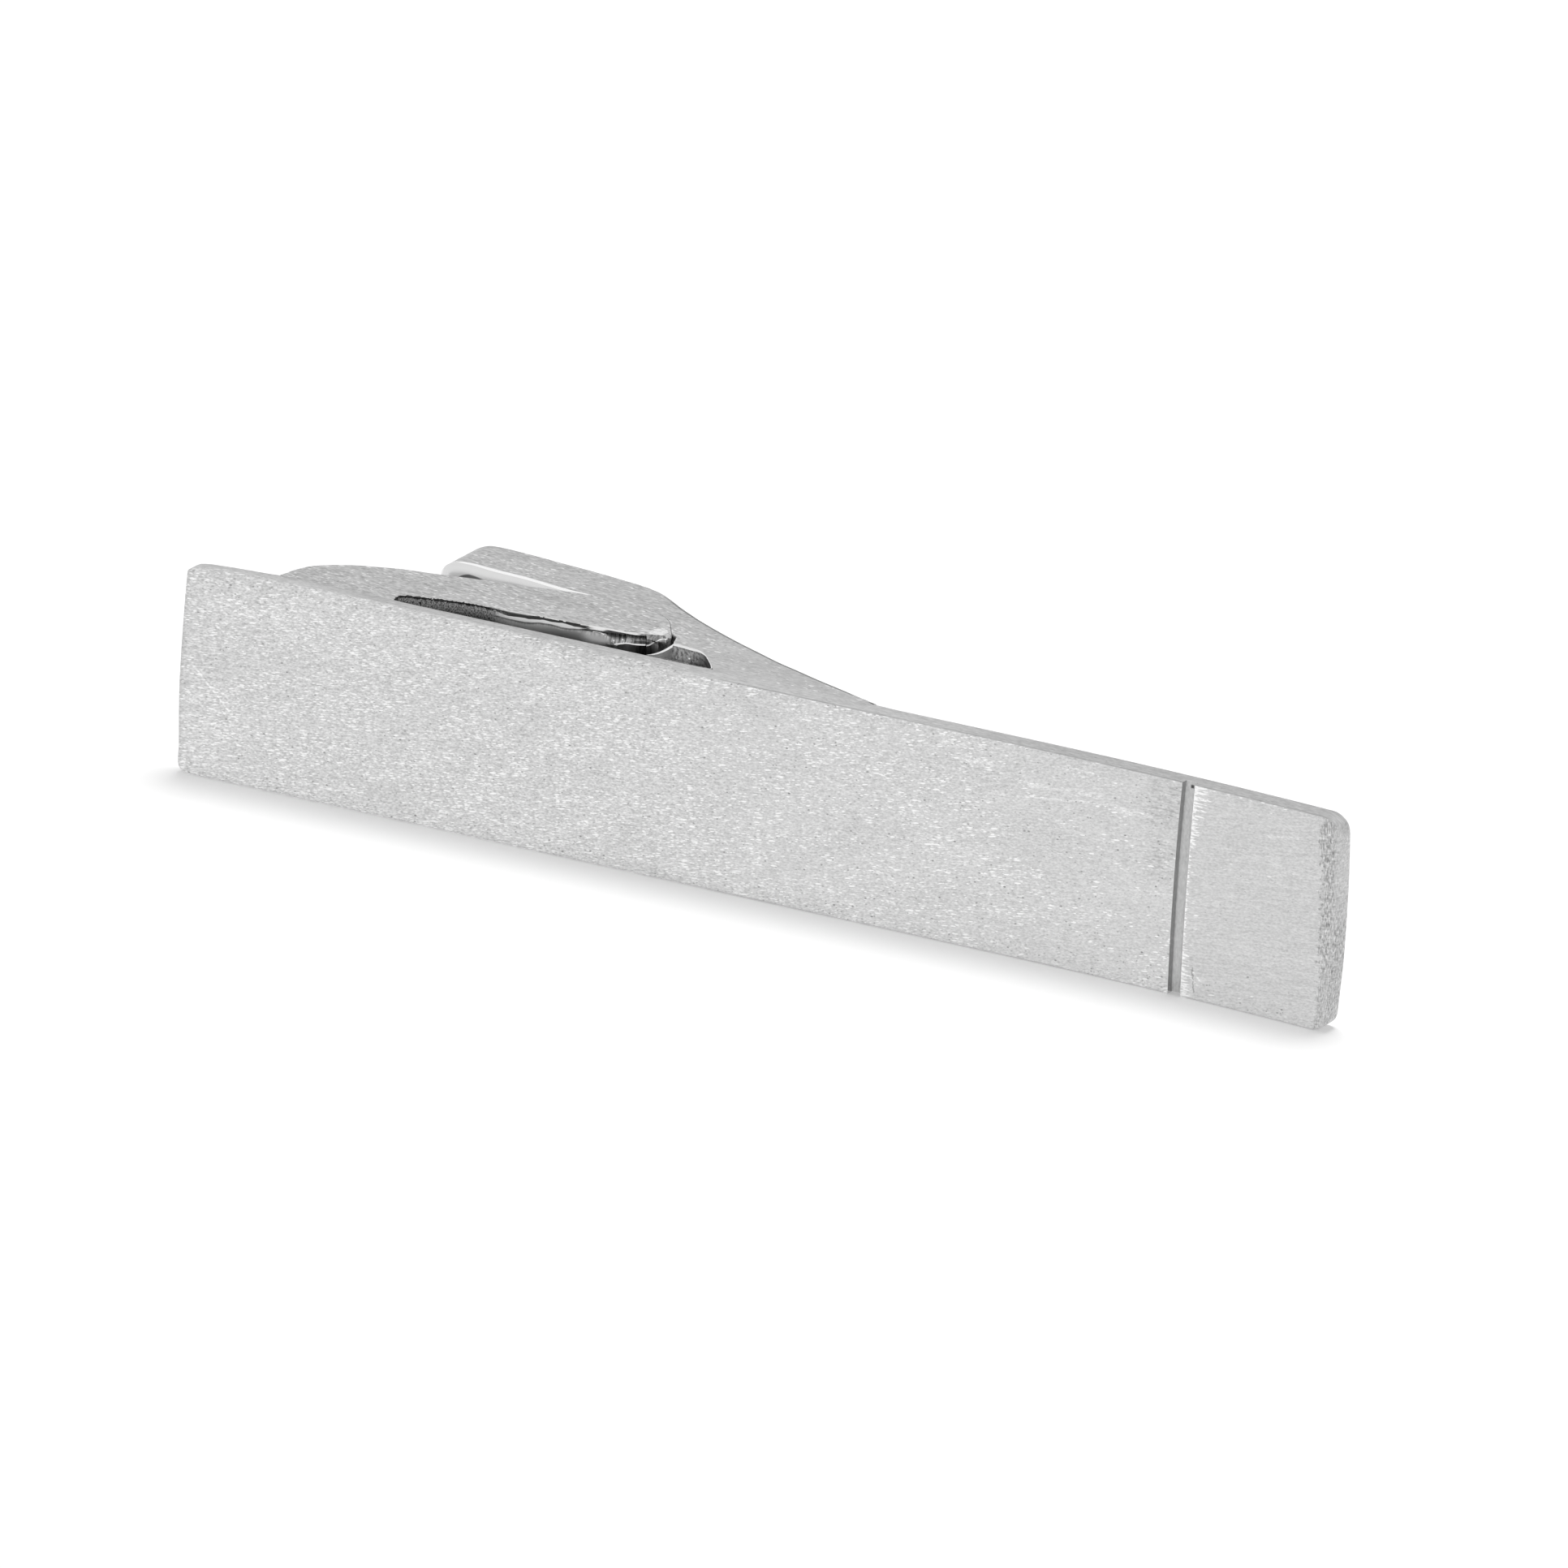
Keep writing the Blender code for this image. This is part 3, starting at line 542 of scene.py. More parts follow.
def face_material():
    """The bar's face: slanting dashes, hairlines at the left, highlights painted on burrs beside the groove,
    a worn right end.
    """
    material, shader, place, x, z = new_material("face_silver")
    right = ramp(x, 43, 44)

    # The worn right end
    ragged = x + (streaks(place, 0.22, 0.2, 40, 3) - 0.5) * 1.1
    ragged = ragged - (ramp(z, 7.4, 5.8, 0, 0.14) + ramp(z, 3.5, 2, 0, 0.13))
    worn = ramp(ragged, 49.06, 49.22) * ramp(x, 49.95, 49.65, 0.35, 1) * ramp(z, 3.5, 1.5, 1, 0.75)
    rounding = ramp(x, 49.84, 49.93) * ramp(z, 6.5, 3, 0, 0.75)
    rub = streaks(place, 0.045, 0.26, 44, 2) * 0.7 + streaks(place, 0.1, 0.1, 45, 2) * 0.3
    tone = mix(worn + rounding, 0.68, ramp(rub, 0.32, 0.66, 0.26, 0.76)) * ramp(x, 49.5, 49.8, 1, 0.98)

    # Painted shade at the left end, a crack beside the groove, the long edges, a smudge, a pit, a painted
    # reflection of the floor low down and slow changes of tone
    # Painted shade: the face darker towards its left end
    tone *= ramp(x, 0.05, 0.26, 0.88, 1)
    tone *= 1 - within(x, -0.09, -0.03, 0.04) * 0.45
    crack = x + (z * 0.1 + (streaks(place, 0.3, 0.3, 80, 2) - 0.5) * 0.4)
    tone *= 1 - within(crack, 44.12, 44.15, 0.03) * within(z, 0.35, 1.25, 0.1) * 0.4
    top = ramp(z, 8.42, 8.6) * within(x, 15, 22, 2)
    foot = ramp(z, 0.14, 0.02) * ramp(x, 28, 22)
    tone *= 1 - (top * 0.09 + foot * 0.07)
    tone *= 1 + ramp(z, 6, 8.2) * within(x, 6, 14, 4) * 0.03
    smudge = within(x, 42, 42.8, 0.8) * (within(z, 6.9, 8.2, 0.7) + within(z, 4.8, 5.8, 0.7))
    tone *= 1 - smudge * ramp(streaks(place, 0.4, 0.1, 55, 3), 0.42, 0.7) * 0.28
    tone *= 1 - within(x, 11.1, 11.22, 0.06) * within(z, 8.36, 8.46, 0.05) * 0.55
    # Painted reflection of the floor: the face lighter towards its lower edge
    tone *= ramp(z, 1.6, 0, 1, 1.07)
    tone *= 1 - right * 0.035

    # Burrs that reach to the right from the groove, painted bright as highlights, then scratches and
    # hairlines
    beside = x - (GROOVE_RIGHT - 0.03)
    reach = ramp(z, 5.6, 7.4, 0.13, 0.66) + ramp(z, 2.8, 0.8, 0, 0.32)
    reach *= ramp(streaks(place, 1.6, 0.07, 50, 2), 0.36, 0.66, 0.1, 1.35)
    burr_highlight = ramp(beside, 0, 0.03) * ramp(beside, reach, reach * 0.5)
    burr_highlight *= ramp(streaks(place, 0.24, 0.07, 52, 2), 0.4, 0.58, 0.1, 1)
    # Painted highlight: the burrs lift the tone
    tone += burr_highlight * (0.44 + abs(z - MIDDLE) * 0.05)
    wobble = (streaks(place, 0.6, 0.6, 90) - 0.5) * 0.12
    broken = ramp(streaks(place, 0.15, 0.08, 92, 2), 0.42, 0.6, 0.16, 1)
    for start, end, width, gain in SCRATCHES:
        tone += scratch(x, z, wobble, start, end, width) * broken * gain
    hairs = reckon("MAXIMUM", marks(place, 2.6, 0.11, 61, 0.05, 0.8), marks(place, 2.6, 0.11, 63, 0.05, 0.1))
    tone += hairs * ramp(x, 9, 3, 0.2, 1) * 0.42

    # The brushing, calmer and with fewer dashes to the right
    rim = ramp(z, 8.38, 8.46) * ramp(x, 21, 24)
    calm = ramp(x, 19, 25, 1, 0.8) * ramp(x, 34, 45, 1, 0.78)
    sparse = ramp(x, 32, 38) * ramp(streaks(place, 5, 1, 75), 0.56, 0.46, 0.1, 0.85)
    fill = calm * 0.6 * (1 - sparse) * (1 - right * 0.75)
    low_specks = ramp(z, 1.3, 0.2) * ramp(streaks(place, 3, 2, 70), 0.4, 0.6, 0, 0.6)
    brush(shader, place, tone=tone, tilt=-0.14, dashes=fill + rim * 0.5, dash_length=0.48, dash_width=0.1,
          dash_gain=1.05 + rim * 0.2, grain=calm * 0.92, grain_size=0.058, lines=0.08 + right * 0.16,
          specks=ramp(right, 0, 1, 0.28, 0.1) + low_specks, patches=0.1)
    return material


def plain_material(name, **values):
    """A brushed surface without marks of its own."""
    material, shader, place = new_material(name)[:3]
    brush(shader, place, **values)
    return material


def groove_material():
    """The groove's floor and sides, brushed up and down, with one small pit; its sides are painted darker as
    shade.
    """
    material, shader, place, x, z = new_material("groove_silver")
    pit = within(x, 43.24, 43.31, 0.06) * within(z, 8.25, 8.33, 0.05)
    # Painted shade: the groove's sides darker than its floor
    tone = mix(ramp(x, 49, 49.5), 0.5, 0.42) * (1 - pit * 0.85)
    brush(shader, place, roughness=0.2, tone=tone, tilt=math.pi / 2, dashes=0, grain=0.4, grain_size=0.08,
          specks=0)
    return material


def edge_material():
    """The bar's long edges, with fine lines along them, a dark line in front and a pale one behind."""
    material, shader, place, x, back = new_material("edge_silver")
    y = back - HEIGHT
    tone = mix(ramp(x, 28, 40), 0.67, 0.575)
    tone *= 1 - within(x, 9, 19, 4) * 0.1
    tone *= 1 - ramp(y, 0.4, 1) * ramp(x, 9, 7.5) * 0.08
    tone *= ramp(x, 49.25, 49.6, 1, 1.12)
    tone *= 1 - ramp(y, 0.16, 0.06) * ramp(x, 21.5, 24) * ramp(x, 29, 33, 0.28, 0.16)
    tone *= 1 + ramp(y, 0.86, 0.95) * ramp(x, 29.5, 31) * 0.16
    brush(shader, place, tone=tone, tilt=0, dash_length=1.2, dash_width=0.1, dashes=0.3, dash_gain=0.4,
          grain=0.6, grain_size=0.1, lines=0.22, specks=0.12)
    return material


def clip_material():
    """The upper and lower edges of the tongue and arm, with a rubbed tip whose bright flecks, glint and
    shine are painted highlights.
    """
    material, shader, place, x, back = new_material("clip_silver")
    y = back - HEIGHT
    tip = within(x, 18.4, 19.1, 0.8) * within(y, 3.2, 4.3, 0.6)
    scuff = within(x, 9.8, 12, 0.5) * within(y, 7.6, 8.2, 0.3)
    calm = ramp(x, 18.5, 22, 1, 0.55) * ramp(y, 6.2, 7.2, 1, 0.85)
    tone = mix(ramp(x, 17, 20), 0.605, 0.625) * (1 + tip * 0.1)
    # Painted highlights on the rubbed tip: bright flecks and a glint
    tone += marks(place, 0.26, 0.2, 91, 0.8) * tip * 1.2
    glint = within(x, 18.3, 18.7, 0.15) * within(y, 3.45, 4.15, 0.15)
    tone += glint * ramp(streaks(place, 0.16, 0.12, 95, 2), 0.3, 0.52) * 0.5
    # Painted highlight: a thin line of shine near the tip, beside a dark nick
    across = y - x * 0.486 + 5.356
    shine = within(across, -0.14, -0.08, 0.03) * within(x, 17.2, 17.9, 0.2)
    nick = within(across, -0.02, 0.02, 0.03) * within(x, 17.4, 17.75, 0.12)
    tone = (tone + shine * 0.3) * (1 - nick * 0.75)
    brush(shader, place, tone=tone, tilt=0.1, dash_length=0.45, dash_width=0.2,
          dashes=calm * 0.42 + scuff * 0.4, dash_gain=1, grain=calm * 1.1, grain_size=0.105,
          lines=calm * 0.24, specks=0.2 + tip * 0.6, patches=ramp(y, 6, 7, 0.26, 0.16))
    return material


def rim_material():
    """The dark line along the arm's back edge: painted shade on its rounding, with dark specks. It fades out
    at both its ends.
    """
    material, shader, place, x = new_material("arm_rim")[:4]
    # Painted shade along the rounded back edge
    tone = mix(within(x, 17.4, 27.6, 0.9), 0.6, 0.28)
    brush(shader, place, tone=tone, dashes=0.1, grain=0.9, grain_size=0.1, specks=0.6)
    return material


def depth_below(z):
    """Return the depth below the nearer long edge."""
    return MIDDLE - abs(z - MIDDLE)


def slot_material():
    """The tongue's side in the slot, with its shade and reflections painted: dark and ragged near the foot,
    polished further on, torn at the tip.
    """
    material, shader, place, x, z = new_material("slot_silver")
    depth = depth_below(z)
    flecks = marks(place, 0.16, 0.12, 3, 0.5)
    hanging = ramp(streaks(place, 0.08, 0.5, 2), 0.35, 0.66)
    wave = (streaks(place, 0.8, 9, 8, 2) - 0.5) * 0.14
    tear = (streaks(place, 0.16, 0.4, 11, 2) - 0.42) * 0.3

    # Painted shade: the ragged part near the foot is dark, darkest just below the long edge
    rough = ramp(streaks(place, 0.05, 0.07, 1, 2), 0.3, 0.7, 0.02, 0.36) + hanging * 0.04
    rough *= ramp(depth, 0.03, 0.08 + tear * 1.4, 0.04, 1)

    # A painted reflection: a pale strip below the long edge, with a dark line above it and one below it
    polished = ramp(x, 15.8, 16.3)
    sag = within(x, 12.7, 13.4, 0.7) * 0.07
    low = depth + wave - sag
    thick = 0.1 + wave * 1.2 + sag
    upper_line = ramp(depth, thick + 0.02, thick) * (1 - polished) * ramp(depth, sag - 0.04, sag)
    past_strip = low - ramp(x, 15.2, 16, 0.23, 0.155)
    lower_line = within(past_strip, 0.015, 0.055, 0.02)
    smooth = mix(polished, 0.36, 0.3) + hanging * 0.16
    smooth = mix(ramp(low + wave * 0.5, 0.28, 0.38), smooth, ramp(x, 13.5, 15, 0.55, 0.38))
    smooth = mix(ramp(past_strip, 0.015, -0.015), smooth, mix(polished, 0.8, 0.86))
    smooth *= 1 - lower_line * mix(polished, 0.45, 0.85)
    smooth *= 1 - upper_line * 0.94

    # The torn tip, painted: dark torn wall, a highlight on its ridge, shade in the pocket below it and a
    # highlight band at the long edge
    torn = ramp(x, 17.55, 17.85, 0.08, 0.16) + hanging * ramp(x, 17.45, 17.85, 0.5, 0.2)
    torn += flecks * ramp(x, 17.6, 18.1, 0.9, 0.5)
    ridge = ramp(x, 16.9, 17.7, 0.58, 0.4) - ramp(x, 18.35, 18.95, 0, 0.27)
    past_ridge = depth + wave * 0.3 - ridge
    torn *= 1 - within(past_ridge, -0.12, -0.06, 0.03) * within(x, 17.95, 18.4, 0.15) * 0.75
    torn = mix(within(past_ridge, -0.02, 0.02, 0.015), torn, 1)
    pocket = ramp(x, 17.5, 18.1, 0.35, 0.06) + ramp(x, 18.5, 18.9, 0, 0.6) + hanging * 0.06
    torn = mix(ramp(past_ridge, 0.03, 0.05), torn, pocket)
    band = ramp(x, 17.1, 17.9, 0.12, 0)
    torn = mix(ramp(depth, band + 0.015, band) * ramp(x, 18.1, 17.9), torn, 0.86)

    tone = mix(ramp(x + tear * 3, 11.8, 12.9), rough, smooth)
    tone = reckon("MINIMUM", mix(ramp(x + tear * 4, 16.7, 17.2), tone, torn), 1)
    feed(shader["Base Color"], grey(tone))
    feed(shader["Roughness"], 0.3)
    roughen(shader, tone, strength=0.3, depth=0.02)
    return material


def mouth_material():
    """The arm's polished side in its mouth, with a painted highlight along its edge and painted shade in a
    hollow near the lip.
    """
    material, shader, place, x, z = new_material("polished_silver")
    depth = depth_below(z)
    right = x - 8.7
    away = reckon("MAXIMUM", right * 0.55, right * -1.3)
    bow = 0.4 + away * away * 0.42
    hollow = ramp(depth - bow, 0, 0.05) * ramp(away, 0.75, 0.6)
    rim = ramp(x, 7.6, 10, 0.045, 0.08)
    tone = 0.765 + (streaks(place, 3, 0.3) - 0.5) * 0.08
    # Painted highlight: a bright band along the edge
    tone = mix(ramp(depth, rim + 0.015, rim), tone, 1)
    # Painted shade: the hollow near the lip is dark
    feed(shader["Base Color"], grey(mix(hollow, tone, 0.16)))
    feed(shader["Roughness"], 0.22)
    return material


def hollow_material():
    """The rough dark inside of the solder's hollow, with painted shade deeper down."""
    material, shader, place, _, z = new_material("hollow_solder")
    depth = depth_below(z)
    tone = ramp(streaks(place, 0.1, 0.13, 14, 3), 0.3, 0.7, 0.12, 0.42)
    tone += marks(place, 0.14, 0.1, 17, 0.4) * ramp(depth, 0.1, 0.4, 0.2, 0.9)
    # Painted shade: darker towards the floor of the hollow
    tone *= ramp(depth, 0.6, 0.3, 0.3, 1)
    feed(shader["Base Color"], grey(tone))
    feed(shader["Roughness"], 0.45)
    roughen(shader, tone, strength=0.5, depth=0.03)
    return material


# Mesh helpers


def smooth_line(points):
    """Return a smooth curve through plan points."""
    points = [Vector(point) for point in points]
    row = [2 * points[0] - points[1], *points, 2 * points[-1] - points[-2]]
    line = [points[0]]
    for before, start, end, after in zip(row, row[1:], row[2:], row[3:]):
        span = (end - start).length
        leaving = (end - before) * span / ((start - before).length + span)
        arriving = (after - start) * span / (span + (after - end).length)
        steps = max(1, min(CURVE_STEPS, round(span / CURVE_STEP)))
        for step in range(1, steps + 1):
            t = step / steps
            rise = t * t * (3 - 2 * t)
            line.append(start.lerp(end, rise) + leaving * t * (1 - t) ** 2 - arriving * t * t * (1 - t))
    return line


def denser(line, step):
    """Return a line with places no further apart than a step."""
    out = [line[0]]
    for start, end in zip(line, line[1:]):
        count = max(1, math.ceil((end - start).length / step))
        out += [start.lerp(end, number / count) for number in range(1, count + 1)]
    return out


def inward(outline):
    """Return, for each corner of a closed plan, the way in that keeps both its sides parallel."""
    ways = []
    count = len(outline)
    for i, corner in enumerate(outline):
        before = (corner - outline[i - 1]).normalized()
        after = (outline[(i + 1) % count] - corner).normalized()
        left = Vector((-before.y, before.x)) + Vector((-after.y, after.x))
        if left.length < TINY:
            left = Vector((-after.y, after.x))
        left.normalize()
        share = max(CORNER_LIMIT, left.dot(Vector((-after.y, after.x))))
        ways.append(left / share)
    return ways


def measured_from(plan, near):
    """Return where a plan's texture starts, so that near a given place it is as far along as x says."""
    number = min(range(len(plan)), key=lambda i: (plan[i] - Vector(near)).length)
    way = sum((end - start).length for start, end in zip(plan[:number], plan[1:number + 1]))
    return plan[number].x - way


def blend_sides(first, second, share):
    """Return a section part of the way from one section to another."""
    return tuple((a + (c - a) * share, b + (d - b) * share) for (a, b), (c, d) in zip(first, second))


def close(body, rows, turned=False, cuts=(), shape=None):
    """Close rings of corners into one body, whose faces look outwards.

    turned is for rings that run the other way, cuts are upright planes at given x, and shape gives a
    corner's height.
    """
    count = len(rows[0])
    for low, high in zip(rows, rows[1:]):
        for i in range(count):
            j = (i + 1) % count
            face = (low[i], high[i], high[j], low[j]) if turned else (low[i], low[j], high[j], high[i])
            body.faces.new(face)
    body.faces.new(rows[0] if turned else rows[0][::-1])
    body.faces.new(rows[-1][::-1] if turned else rows[-1])
    bmesh.ops.remove_doubles(body, verts=body.verts, dist=WELD)
    for x in cuts:
        bmesh.ops.bisect_plane(body, geom=[*body.verts, *body.edges, *body.faces], plane_co=(x, 0, 0),
                               plane_no=(1, 0, 0), dist=CUT_REACH)
    wide = [face for face in body.faces if len(face.verts) > 4]
    bmesh.ops.triangulate(body, faces=wide, ngon_method="BEAUTY")
    if shape:
        for vertex in body.verts:
            vertex.co.z = shape(vertex.co)
    bmesh.ops.recalc_face_normals(body, faces=body.faces)


def slab(outline, sides, cuts, shape, paint, measure):
    """Return a bmesh raised from a plan, with a section for each of its corners.

    cuts and shape are those of close, paint gives a face's material from its centre and its normal, and
    measure is where along its side the texture starts.
    """
    body = bmesh.new()
    along = body.verts.layers.float.new("along")
    ways = inward(outline)
    lengths = [measure]
    for start, end in zip(outline, outline[1:]):
        lengths.append(lengths[-1] + (end - start).length)

    def ring(step, upper, hem=0.0):
        row = []
        for corner, way, side, length in zip(outline, ways, sides, lengths):
            depth, inset = side[step]
            place = corner + way * (inset + hem)
            vertex = body.verts.new((place.x, place.y, HEIGHT - depth if upper else depth))
            vertex[along] = length
            row.append(vertex)
        return row

    steps = range(len(sides[0]))
    rows = [ring(0, False, HEM)] + [ring(step, False) for step in steps]
    rows += [ring(step, True) for step in reversed(steps)] + [ring(0, True, HEM)]
    close(body, rows, cuts=cuts, shape=shape)
    grain = body.loops.layers.uv.new("grain")
    for face in body.faces:
        face.material_index = paint(face.calc_center_median(), face.normal)
        flat = abs(face.normal.z) > SQUARE
        for loop in face.loops:
            place = loop.vert.co
            loop[grain].uv = (place.x, HEIGHT + place.y) if flat else (loop.vert[along], place.z)
    return body


def finish_mesh(name, body, rides_on, materials, nodes):
    """Turn a bmesh in plan millimetres into a piece in the frame that stands for CAD nodes."""
    mesh = bpy.data.meshes.new(name)
    for vertex in body.verts:
        vertex.co = spot(*vertex.co)
    body.to_mesh(mesh)
    body.free()
    thing = bpy.data.objects.new(name, mesh)
    bpy.context.scene.collection.objects.link(thing)
    for material in materials:
        mesh.materials.append(material)
    mesh.shade_smooth()
    mesh.set_sharp_from_angle(angle=SHARP_ANGLE)
    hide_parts(*nodes)
    if rides_on:
        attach(thing, rides_on)
    thing.modifiers.new("even_normals", "WEIGHTED_NORMAL").keep_sharp = True
    return thing


# Shape of the bar


def bar_section(x):
    """Return a section of the bar at x as a ring of (y, z) places."""
    left, right = x, LENGTH - x
    y0 = face_y(x) + rounded(LEFT_END[0], left) + rounded(RIGHT_END[0], right)
    y1 = face_y(x) + THICKNESS - rounded(LEFT_END[1], left) - rounded(RIGHT_END[1], right)
    z0 = rounded(LEFT_END[3], left) + rounded(RIGHT_END[3], right)
    z1 = HEIGHT - between(LEFT_WEAR, x) - rounded(LEFT_END[2], left) - rounded(RIGHT_END[2], right)
    if GROOVE_LEFT + GROOVE_WALL / 2 < x < GROOVE_RIGHT - GROOVE_WALL / 2:
        across = (x - GROOVE_LEFT) / (GROOVE_RIGHT - GROOVE_LEFT)
        y0 += GROOVE_DEPTH + GROOVE_BOWL * math.sin(math.pi * across)
    radii = [between(table, x) for table in (FACE_LOW_EDGE, FACE_TOP_EDGE, BACK_TOP_EDGE, BACK_LOW_EDGE)]
    if GROOVE_LEFT - GROOVE_MARGIN < x < GROOVE_RIGHT + GROOVE_MARGIN:
        radii[0] = radii[1] = GROOVE_EDGE
    for first, second in ((0, 3), (1, 2)):
        spare = (y1 - y0) * ROUNDED_SHARE / max(TINY, radii[first] + radii[second])
        if spare < 1:
            radii[first] *= spare
            radii[second] *= spare
    centres = ((y0 + radii[0], z0 + radii[0]), (y0 + radii[1], z1 - radii[1]),
               (y1 - radii[2], z1 - radii[2]), (y1 - radii[3], z0 + radii[3]))
    ring = []
    for corner, ((y, z), radius) in enumerate(zip(centres, radii)):
        start = math.pi * 1.5 - corner * math.pi / 2
        for step in range(ARC_STEPS + 1):
            angle = start - math.pi / 2 * step / ARC_STEPS
            ring.append((y + radius * math.cos(angle), z + radius * math.sin(angle)))
        after = (corner + 1) % 4
        start = math.pi * 1.5 - after * math.pi / 2
        goal = Vector(centres[after]) + Vector((math.cos(start), math.sin(start))) * radii[after]
        rows = FACE_ROWS if corner in (0, 2) else EDGE_ROWS
        here = Vector(ring[-1])
        for step in range(1, rows):
            ring.append(tuple(here.lerp(goal, step / rows)))
    return ring


def bar_stations():
    """Return the x of every section of the bar."""
    places = [*END_STEPS]
    x = END_REACH
    while x < LENGTH - END_REACH:
        if not GROOVE_LEFT - GROOVE_MARGIN < x < GROOVE_RIGHT + GROOVE_MARGIN:
            places.append(x)
        x += STATION_STEP
    places += [LENGTH - step for step in END_STEPS]
    places += [GROOVE_LEFT - GROOVE_MARGIN, GROOVE_LEFT - GROOVE_NEAR, GROOVE_LEFT]
    places += [GROOVE_RIGHT, GROOVE_RIGHT + GROOVE_NEAR, GROOVE_RIGHT + GROOVE_MARGIN]
    floor = GROOVE_RIGHT - GROOVE_LEFT - 2 * GROOVE_WALL
    places += [GROOVE_LEFT + GROOVE_WALL + floor * step / GROOVE_STEPS for step in range(GROOVE_STEPS + 1)]
    return sorted(places)


def make_bar(materials):
    """Make the bar from sections along its length. Its materials: face, long edges, groove, back."""
    body = bmesh.new()
    along = body.verts.layers.float.new("along")
    rows = []
    for x in bar_stations():
        row = []
        for y, z in bar_section(x):
            left = between(LEFT_BELLY, z) * (1 - ease(x / BELLY_REACH))
            right = between(RIGHT_BELLY, z) * (1 - ease((LENGTH - x) / BELLY_REACH))
            bow = GROOVE_BOW * (1 - (2 * z / HEIGHT - 1) ** 2)
            bow *= 1 - ease(abs(x - GROOVE_LEFT) / BELLY_REACH)
            vertex = body.verts.new((x - left + right - bow, y, z))
            vertex[along] = x
            row.append(vertex)
        rows.append(row)
    close(body, rows, turned=True)
    grain = body.loops.layers.uv.new("grain")
    for face in body.faces:
        centre = face.calc_center_median()
        normal = face.normal
        middle = sum(vertex[along] for vertex in face.verts) / len(face.verts)
        inside = GROOVE_LEFT < middle < GROOVE_RIGHT
        deep = face_y(centre.x) + GROOVE_DEPTH + GROOVE_SPARE
        if inside and abs(normal.z) < LEANING and centre.y < deep:
            face.material_index = 2
        elif abs(normal.z) > FACING and (centre.x > EDGE_FROM or centre.y > EDGE_FRONT):
            face.material_index = 1
        elif normal.y > LEANING:
            face.material_index = 3
        for loop in face.loops:
            place = loop.vert.co
            x = loop.vert[along]
            back = place.y - face_y(x)
            if abs(normal.z) > FACING:
                loop[grain].uv = (x, HEIGHT + back)
            elif inside and abs(normal.x) > FACING:
                loop[grain].uv = (LENGTH + back, place.z)
            elif normal.y < FACING and x < END_REACH:
                loop[grain].uv = (x - back, place.z)
            elif normal.y < FACING and x > LENGTH - END_REACH:
                loop[grain].uv = (x + back, place.z)
            else:
                loop[grain].uv = (x, place.z)
    finish_mesh("bar", body, "bar", materials, ["face_plate"])


# Shape of the clip and the solder


def contact_line():
    """Return the arm's side where it lies along the tongue, from the lip to the throat."""
    outer = smooth_line(TONGUE_TIP[-1:] + TONGUE_OUTER)[::-1]
    line = []
    for before, place, after in zip(outer, outer[1:], outer[2:]):
        if place.x < CONTACT_FROM:
            continue
        way = (after - before).normalized()
        line.append(place + Vector((-way.y, way.x)) * CONTACT_GAP)
    return line


def tongue_plan():
    """Return the tongue's plan, counter-clockwise."""
    inner = smooth_line(TONGUE_INNER + TONGUE_TIP[:1])
    outer = smooth_line(TONGUE_TIP + TONGUE_OUTER)
    return [Vector(point) for point in TONGUE_FOOT] + denser(inner, JAGGED_STEP) + outer[1:]


def tongue_side(place, chance):
    """Return the tongue's section at a corner of its plan, drawn by chance where it is ragged."""
    if place.y < ON_SEAT:
        return FLAT_SIDE
    # The outer side, which the arm lies against
    if place.y > OUTER_BACK + max(0.0, place.x - OUTER_RISE) or place.x < SLOT_START:
        side = blend_sides(PLAIN_SIDE, CONTACT_SIDE, progress(PLAIN_TO_CONTACT, place.x))
        return blend_sides(TIP_SIDE, side, progress(TIP_TO_OUTER, place.y)) if place.x > TIP_START else side
    # The side in the slot: ragged, then polished, then torn
    if place.x < SHARP_TO_POLISHED[0]:
        jag = JAGGED_EDGE * chance.random() ** 2 * (1 - CALM_SHARE * progress(RAGGED_TO_CALM, place.x))
        jag *= 1 - progress(CALM_TO_EVEN, place.x)
        return ((0.0, SHARP_SIDE[0][1] + jag), *SHARP_SIDE[1:])
    if place.x < POLISHED_TO_TORN[0]:
        return blend_sides(SHARP_SIDE, POLISHED_SIDE, progress(SHARP_TO_POLISHED, place.x))
    side = blend_sides(POLISHED_SIDE, TORN_SIDE, progress(POLISHED_TO_TORN, place.x))
    share = sum(part * progress(change, place.x) for part, change in zip(TORN_TO_TIP_SHARES, TORN_TO_TIP))
    return blend_sides(side, TIP_SIDE, share)


def narrowed(place, fall):
    """Return the height of a place, where the upper and the lower edge each fall back."""
    return MIDDLE + (place.z - MIDDLE) * (1 - fall / MIDDLE)


def make_tongue(materials):
    """Make the tongue with its foot. Its materials: long edges, side in the slot, other sides."""
    plan = tongue_plan()
    chance = random.Random(4)
    sides = [tongue_side(place, chance) for place in plan]

    def shape(place):
        return narrowed(place, rounded(TIP_RADIUS, TIP_END - place.x))

    def paint(centre, normal):
        in_slot = centre.x > SLOT_FROM and centre.y < SLOT_BACK
        if in_slot and abs(normal.z) < SLOT_LEVEL and normal.y < SLOT_TURN:
            return 1
        return 2 if abs(normal.z) < LEANING else 0

    body = slab(plan, sides, TIP_CUTS, shape, paint, measured_from(plan, TONGUE_MEASURE))
    tongue = finish_mesh("tongue", body, None, materials, ["tongue_root", "spring_tongue"])
    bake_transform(tongue)


